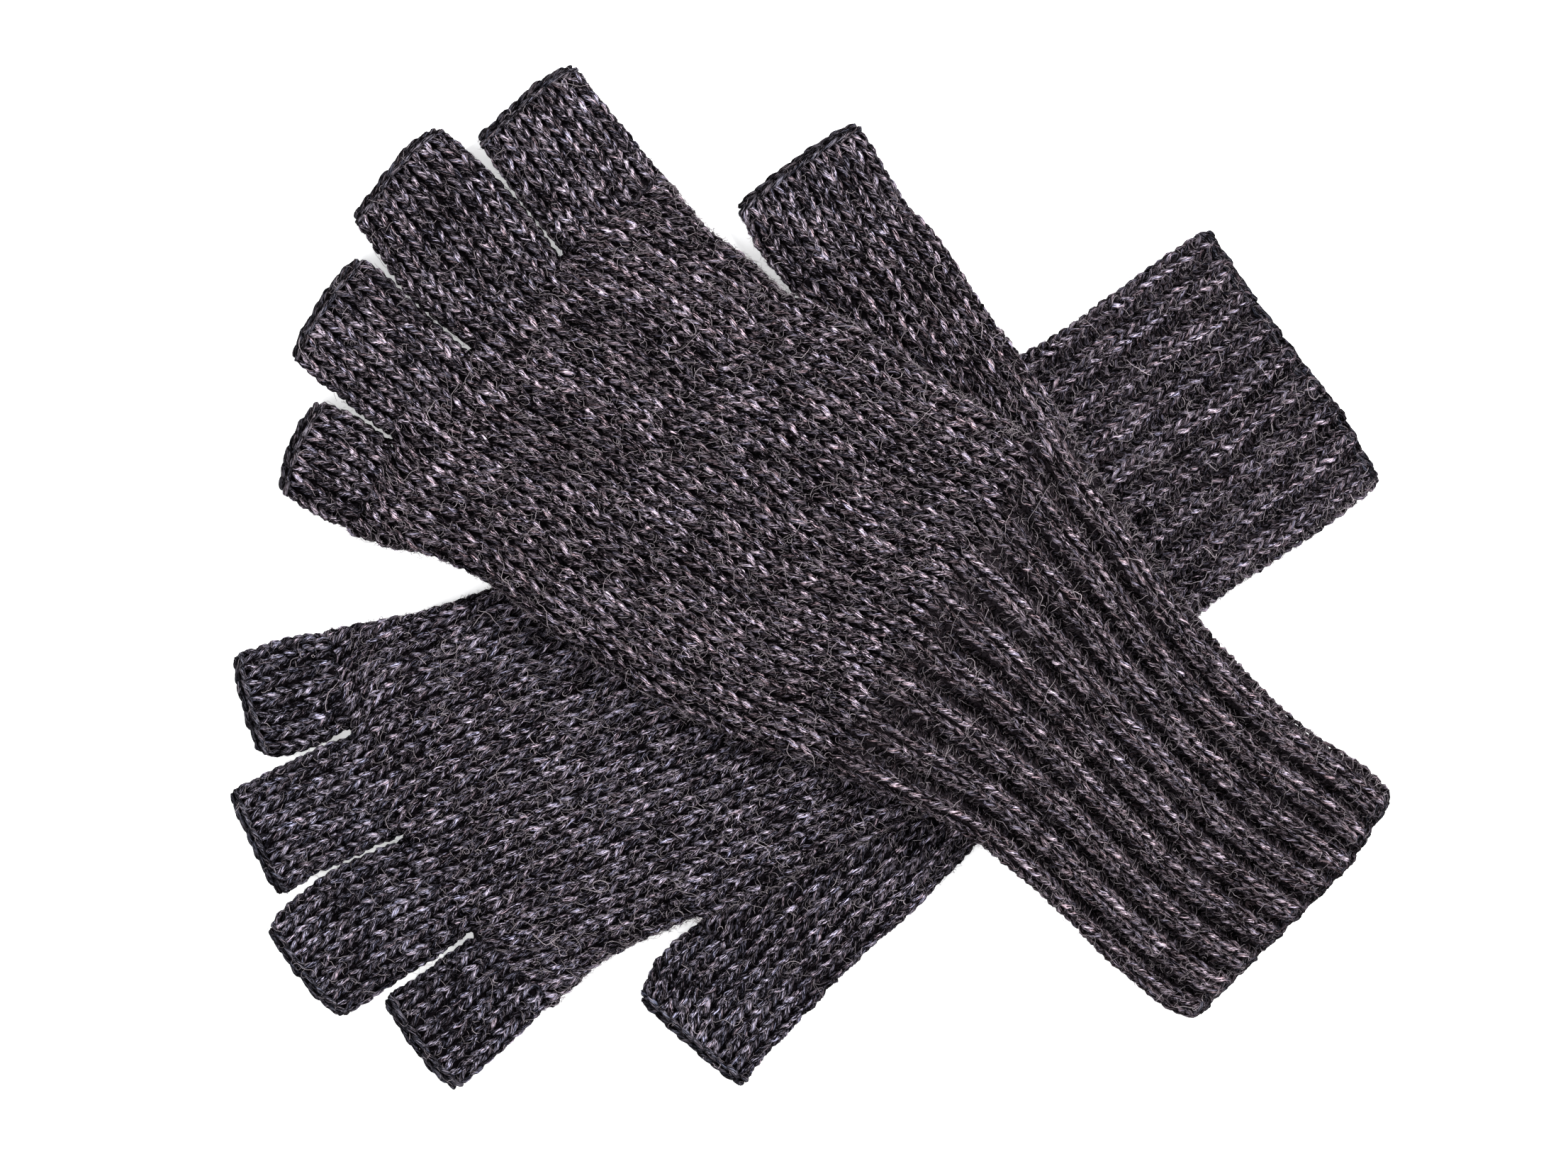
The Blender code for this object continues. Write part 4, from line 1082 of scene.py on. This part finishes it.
def make_glove(which):
    g = Glove(which)
    g.hand_surfaces()
    hand_body = f"{which}_glove"
    n_c = g.courses
    cut = n_c // 2

    # top of the hand, in two pieces
    def top_span(c):
        return g.wale_a(c), g.wale_b(c), False

    def under_span(c):
        wide = c + 0.5 * LOOP_HEIGHT < g.split * n_c - 0.5
        return (g.wale_under(c) if wide else g.wale_b(c) - g.ring), g.wale_a(c), False

    for part, (c0, c1) in enumerate(((0, cut), (cut, n_c))):
        mesh = Mesh()
        knit(mesh, g.palm, np.arange(c0, c1) + 0.0, top_span, seed=1.0 + (50 if which == "upper" else 0), proud=0.10 if which == "upper" else 0.06)
        obj = mesh.build(f"{which}_hand_top_{part + 1}", HAND[which])
        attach(obj, hand_body)
    for part, (c0, c1) in enumerate(((0, cut), (cut, n_c))):
        mesh = Mesh()
        knit(mesh, g.palm, np.arange(c0, c1) + 0.0, under_span, seed=2.0 + (50 if which == "upper" else 0), segments=12, sides=6, lobes=0.0)
        obj = mesh.build(f"{which}_hand_under_{part + 1}", HAND[which])
        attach(obj, hand_body)
    # near-black sheets between the loops: matted fibres and painted shade
    obj = sheet_under(f"{which}_hand_top_felt", g.palm, np.arange(-0.5, n_c - 0.3, 0.5), top_span, 96, FELT_AND_SHADE)
    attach(obj, hand_body)
    obj = sheet_under(f"{which}_hand_under_felt", g.palm, np.arange(-0.5, n_c - 0.3, 0.5), under_span, 96, FELT_AND_SHADE)
    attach(obj, hand_body)
    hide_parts(f"{which}_hand")
    seed = 61.0 + (50 if which == "upper" else 0)
    area = g.length * float(np.linalg.norm(g.knuckles[-1] - g.knuckles[0])) / 100.0
    for part, (c0, c1) in enumerate(((-0.5, n_c / 2), (n_c / 2, n_c - 0.6))):
        obj = loose_fibres(f"{which}_hand_fuzz_{part + 1}", g.palm, lambda c: (g.wale_a(c) - 0.4, g.wale_b(c) - 0.1), c0, c1, area / 2, seed + part)
        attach(obj, hand_body)

    # fingers
    for name in ("little", "ring", "middle", "index", "thumb"):
        body = f"{which}_{name}"
        patch, n_total, tubes, rims, ring, w_first = finger_piece(g, name, body, hand_body)
        start, end = g.finger_lines[name]
        root = 0.5 * (start[0] + end[0])
        out = unit(0.5 * (start[-1] + end[-1]) - root)
        base = unit(end[0] - start[0])
        normal = np.array([-base[1], base[0]])
        if normal @ out < 0:
            normal = -normal
        z = float(base_height(which, root[None])[0]) + LOFT / 2
        for obj in tubes + rims:
            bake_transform(obj)
        kind = "thumb_tube" if name == "thumb" else f"{name}_finger"
        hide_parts(f"{which}_{kind}")
        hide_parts(f"{which}_{name}_edge")
        if name == "thumb":
            g.thumb = (patch, n_total, ring)

    gusset(g, hand_body)
    cuff(g, hand_body)


def gusset(g, body):
    """The thumb's fabric between the hand's rolled edge and the outer edge, with its wales along the thumb."""
    which = g.which
    start, end = g.finger_lines["thumb"]
    start, end = end, start  # outer edge first
    o0, i0 = start[0], end[0]
    e0 = unit(i0 - o0)
    outer = g.outer  # cuff to thumb
    length = line_length(outer)
    n = int(math.ceil(length / PITCH_C)) + 1
    patch_t, n_total, ring = g.thumb
    span_full = float(np.linalg.norm(i0 - o0))
    gus = g.gusset
    fine_c = np.arange(-n - 0.5, 1.01, 0.25)
    cuff_dir = unit(g.outer[0] - g.gusset[0])
    rows, ends = [], []
    x = np.concatenate([span_full * 1.3 * cosine(81)[:41], np.linspace(span_full * 0.65, span_full * 1.3, 60)[1:]])
    x = np.unique(np.concatenate([np.linspace(0, 1, 25) ** 2 * 6.0, np.linspace(6.0, 45.0, 80)[1:]]))
    gus = np.vstack([gus, gus[-1] + unit(gus[-1] - gus[-8]) * 15.0])  # runs on past the crotch
    gdir = unit(gus[-2] - gus[0])
    g_normal = np.array([-gdir[1], gdir[0]])
    if (outer[40] - gus[40]) @ g_normal < 0:
        g_normal = -g_normal  # points out of the palm, towards the thumb's edge
    for c in fine_c:
        back = -(c + 0.5) * PITCH_C
        f = 1 - back / length
        O = point_on(outer, f)
        # rows stay square to the outer edge near the thumb and turn to the cuff's line at the cuff
        t = float(smoothstep(back / length))
        e = unit(e0 * (1 - t) + unit(gus[0] - outer[0]) * t * 1.0)
        plan = O + e * (SKIN + x)[:, None]
        # signed distance to the hand's rolled edge: positive where the thumb's fabric is in the open
        rel = plan - gus[None, 0]
        seg = np.array([nearest_signed(p, gus, g_normal) for p in plan])
        crossing = np.argmax(seg < 0) if (seg < 0).any() else len(x) - 1
        x_end = min(x[crossing], span_full * 1.04 - SKIN)
        ends.append(x_end)
        base = base_height(which, plan) + FOLD_Z
        z = rise(x, 2.6, 5.0)
        dip = 3.1 * (1 - smoothstep((seg + 1.2) / 5.5)) * (1 - float(smoothstep((c + 1.6) / 1.6)))
        z = z - dip
        rows.append(np.column_stack([plan, base + z]))
    ends = np.array(ends)
    # wrap the outer fold down to the table
    full = []
    for c, row in zip(fine_c, rows):
        O = row[0, :2]
        e = unit(row[10, :2] - O)
        a = np.linspace(0, 1, 12)[1:]
        d = R_FOLD * (1 - np.cos(a * math.pi / 2))
        d = np.concatenate([d, [R_FOLD + 1.0, R_FOLD + 2.0, R_FOLD + 3.0, R_FOLD + 4.0]])
        pl = O + e * d[:, None]
        z = base_height(which, pl) + FOLD_Z - drop(d)
        full.append(np.vstack([np.column_stack([pl, z])[::-1], row]))
    arcs = [np.concatenate([[0], np.cumsum(np.linalg.norm(np.diff(p, axis=0), axis=1))]) for p in full]
    zero = 15  # index of the fold's middle in each row
    ws = np.arange(-2.6, 15.0, 1 / 6)
    grid = []
    for p, s in zip(full, arcs):
        grid.append(curve_at(p, s[zero] + ws * PITCH_W))
    patch = Patch(fine_c[0], 0.25, ws[0], 1 / 6, np.array(grid), 1.0)
    j = int((3.0 - ws[0]) * 6)
    if patch.normal[len(fine_c) // 2, j, 2] < 0:
        patch.normal *= -1

    def wale_end(c):
        k = int(np.clip(round((c - fine_c[0]) / 0.25), 0, len(fine_c) - 1))
        p, s = full[k], arcs[k]
        at = s[zero] + 0.0
        top = np.interp(ends[k], np.concatenate([[0], np.cumsum(np.linalg.norm(np.diff(rows[k][:, :2], axis=0), axis=1))]), s[zero:])
        return (top - at) / PITCH_W

    def span(c):
        return -1.8, float(min(wale_end(c) + 1.0, 9.4)), False

    courses = [-k - 1.0 for k in range(n)]
    courses = [c for c in courses if -(c + 0.5) * PITCH_C < length + 1.0]
    mesh = Mesh()
    knit(mesh, patch, courses, span, seed=5.0 + (50 if which == "upper" else 0))
    obj = mesh.build(f"{which}_thumb_gusset", HAND[which])
    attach(obj, body)
    # a near-black sheet between the loops: matted fibres and painted shade
    felt_and_shade_sheet = sheet_under(f"{which}_thumb_gusset_felt", patch, np.arange(min(courses) - 0.5, 0.01, 0.5), span, 36, FELT_AND_SHADE)
    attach(felt_and_shade_sheet, body)
    area = length * 0.55 * span_full / 100.0
    fuzz = loose_fibres(
        f"{which}_thumb_gusset_fuzz", patch, lambda c: (-0.4, max(span(c)[1] - 1.6, 0.5)), min(courses), -0.6, area, 71.0 + (50 if which == "upper" else 0)
    )
    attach(fuzz, body)


def nearest_signed(p, line, out):
    a, b = line[:-1], line[1:]
    ab = b - a
    t = np.clip(((p - a) * ab).sum(1) / (ab * ab).sum(1), 0, 1)
    q = a + ab * t[:, None]
    d = np.linalg.norm(q - p, axis=1)
    k = int(d.argmin())
    return float(d[k]) * (1.0 if (p - q[k]) @ out > 0 else -1.0)


def cuff(g, hand_body):
    """The ribbed wrist: two knit wales and one purl wale to each rib."""
    which = g.which
    start, end = g.cuff_start, g.cuff_end
    length = 0.5 * (line_length(start) + line_length(end))
    n_c = int(round((length - 0.45 * RIM) / PITCH_CUFF))
    n_total = length / ((length - 0.45 * RIM) / n_c)
    first = n_total - n_c  # the cast-on edge fills the rest
    ring = 54
    ease_c = 6.5  # courses over which the ribs fade into the hand

    def amount(c):
        return 1 - 0.85 * smoothstep((c - (n_total - ease_c)) / ease_c)

    def face_at(c):
        k = float(amount(c))

        def face(w):
            m = np.mod(w, 3.0)
            # +1 on the two knit wales, -1 on the purl wale
            purl = smoothstep((m - 1.92) / 0.16) * (1 - smoothstep((m - 2.84) / 0.16))
            purl = np.where(k < 0.45, 0.0, purl)
            return 1 - 2 * purl

        return face

    def relief(w, c):
        k = amount(c)
        m = np.mod(w, 3.0)
        valley = np.exp(-((m - 2.5) / 0.50) ** 4) + np.exp(-((m + 0.5) / 0.50) ** 4)
        hump = 0.42 * np.cos((m - 1.0) * math.pi / 1.5)
        return (-VALLEY[which] * valley + hump) * k

    patch = g.tube_surface(start, end, n_total, ring, -1.0, n_total + 0.6, lambda f: CUFF_CROWN + (CROWN + 0.35 - CUFF_CROWN) * float(smoothstep((f - 0.68) / 0.32)), (-0.3, -0.3), (-0.3, -0.3), reach=8.0, relief=relief, front=27.0, reach_out=MOUTHS[which]["cuff"], mouth_last=False)
    seed = 7.0 + (50 if which == "upper" else 0)
    body = "upper_wrist" if which == "upper" else "lower_glove"
    made = []
    cut = n_c // 2
    cs = first + np.arange(n_c)
    for side, (w0, w1) in (("top", (0.0, 27.0)), ("under", (27.0, 54.0))):
        for part, rows in enumerate((cs[:cut], cs[cut:])):
            mesh = Mesh()
            detail = dict(segments=16, sides=10, lobes=0.09) if side == "top" else dict(segments=12, sides=6, lobes=0.0)
            for c in rows:
                knit_row(mesh, patch, c, w0, w1, face_at(c), relief, seed, rows, detail, -0.12 if which == "upper" else 0.10)
            made.append(mesh.build(f"{which}_cuff_{side}_{part + 1}", CUFF[which]))
    # a dark sheet between the loops: matted fibres and painted shade
    felt_and_shade_sheet = sheet_under(f"{which}_cuff_felt", patch, np.arange(-0.12, n_total - 0.4, 0.5), lambda c: (0.0, 54.0, True), 54 * 3, CUFF_FELT_AND_SHADE)
    edge = Mesh()
    chain(edge, patch, -0.5, -1.0, length / n_total, 0.0, ring, seed, 0.55)
    rim = edge.build(f"{which}_cast_on", EDGE[which])
    area = length * 0.5 * float(np.linalg.norm(start[0] - end[0]) + np.linalg.norm(start[-1] - end[-1])) / 100.0
    fuzz = loose_fibres(f"{which}_cuff_fuzz", patch, lambda c: (-0.4, 27.4), -0.3, n_total - 0.6, area, 81.0 + (50 if which == "upper" else 0))
    for obj in made + [felt_and_shade_sheet, rim, fuzz]:
        if which == "upper":
            mid = 0.5 * (start[-1] + end[-1])
            base = unit(end[-1] - start[-1])
            normal = np.array([-base[1], base[0]])
            if normal @ (0.5 * (start[0] + end[0]) - mid) < 0:
                normal = -normal
            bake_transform(obj)
        else:
            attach(obj, body)
    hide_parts(f"{which}_cuff")
    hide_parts(f"{which}_cuff_edge")


def knit_row(mesh, patch, c, w0, w1, face, relief, seed, rows, detail, lean):
    rows = list(rows)
    row, total = rows.index(c), len(rows)
    p, nrm, w, z = loops(patch, c, w0, w1, face, detail["segments"], seed + c * 0.731, lean, CUFF_SWAY["upper" if seed > 50 else "lower"])
    # where the ribs' relief dips, the height that feeds the sink attribute is lowered, so the purl channels get deeper
    # painted shade
    z = z + PROUD - abs(lean) + np.minimum(relief(w, np.full(len(w), c)) - 0.42, 0.0) * 0.5
    along = np.concatenate([[0], np.cumsum(np.linalg.norm(np.diff(p, axis=0), axis=1))]) + 1000.0 * (int(seed * 7 + round(c * 3)) % 97)
    thick = 0.93 + 0.07 * np.sin(along * 0.9 + seed + row)
    mesh.tube(p, nrm, along, detail["sides"], R_SIDE * 0.92, R_FLAT, False, detail["lobes"], TWIST, (0.0, row / total, 1.0, (row + 1) / total), z, phase=row * 1.3 + seed, taper=thick)


# ---------------------------------------------------------------- the studio

def studio():
    scene = bpy.context.scene
    mesh = bpy.data.meshes.new("floor")
    s = 3.0
    mesh.from_pydata([(-s, -s, 0), (s, -s, 0), (s, s, 0), (-s, s, 0)], [], [(0, 1, 2, 3)])
    floor = bpy.data.objects.new("floor", mesh)
    scene.collection.objects.link(floor)
    m = bpy.data.materials.new("paper")
    m.use_nodes = True
    b = m.node_tree.nodes["Principled BSDF"]
    b.inputs["Base Color"].default_value = (0.93, 0.93, 0.935, 1)
    b.inputs["Roughness"].default_value = 0.9
    b.inputs["Specular IOR Level"].default_value = 0.1
    b.inputs["Emission Color"].default_value = (1.0, 1.0, 1.0, 1)  # a lit table, which leaves next to no shadow
    b.inputs["Emission Strength"].default_value = 0.45
    mesh.materials.append(m)

    world = bpy.data.worlds.new("studio")
    scene.world = world
    world.use_nodes = True
    bg = world.node_tree.nodes["Background"]
    bg.inputs["Color"].default_value = (0.98, 0.99, 1.0, 1)
    bg.inputs["Strength"].default_value = 0.85

    def area(name, at, target, size, power):
        light = bpy.data.lights.new(name, "AREA")
        light.energy = power
        light.size = size
        obj = bpy.data.objects.new(name, light)
        obj.location = at
        obj.rotation_euler = (Vector(target) - Vector(at)).to_track_quat("-Z", "Y").to_euler()
        scene.collection.objects.link(obj)

    area("key", (0.75, 0.55, 0.80), (0, 0, 0), 0.55, 30.0)
    area("fill", (-0.7, -0.5, 0.95), (0, 0, 0), 0.9, 11.0)

    cam = bpy.data.cameras.new("camera")
    cam.sensor_width = 36.0
    cam.lens = 36.0 * 0.9 / 0.3053
    cam.dof.use_dof = False
    obj = bpy.data.objects.new("camera", cam)
    obj.location = (-0.0049 + 0.0000862, -0.0023 + 0.0003045, 0.9 + 0.009)
    obj.rotation_euler = (0, 0, 0)
    scene.collection.objects.link(obj)
    scene.camera = obj
    scene.view_settings.view_transform = "Standard"


make_glove("lower")
make_glove("upper")
studio()
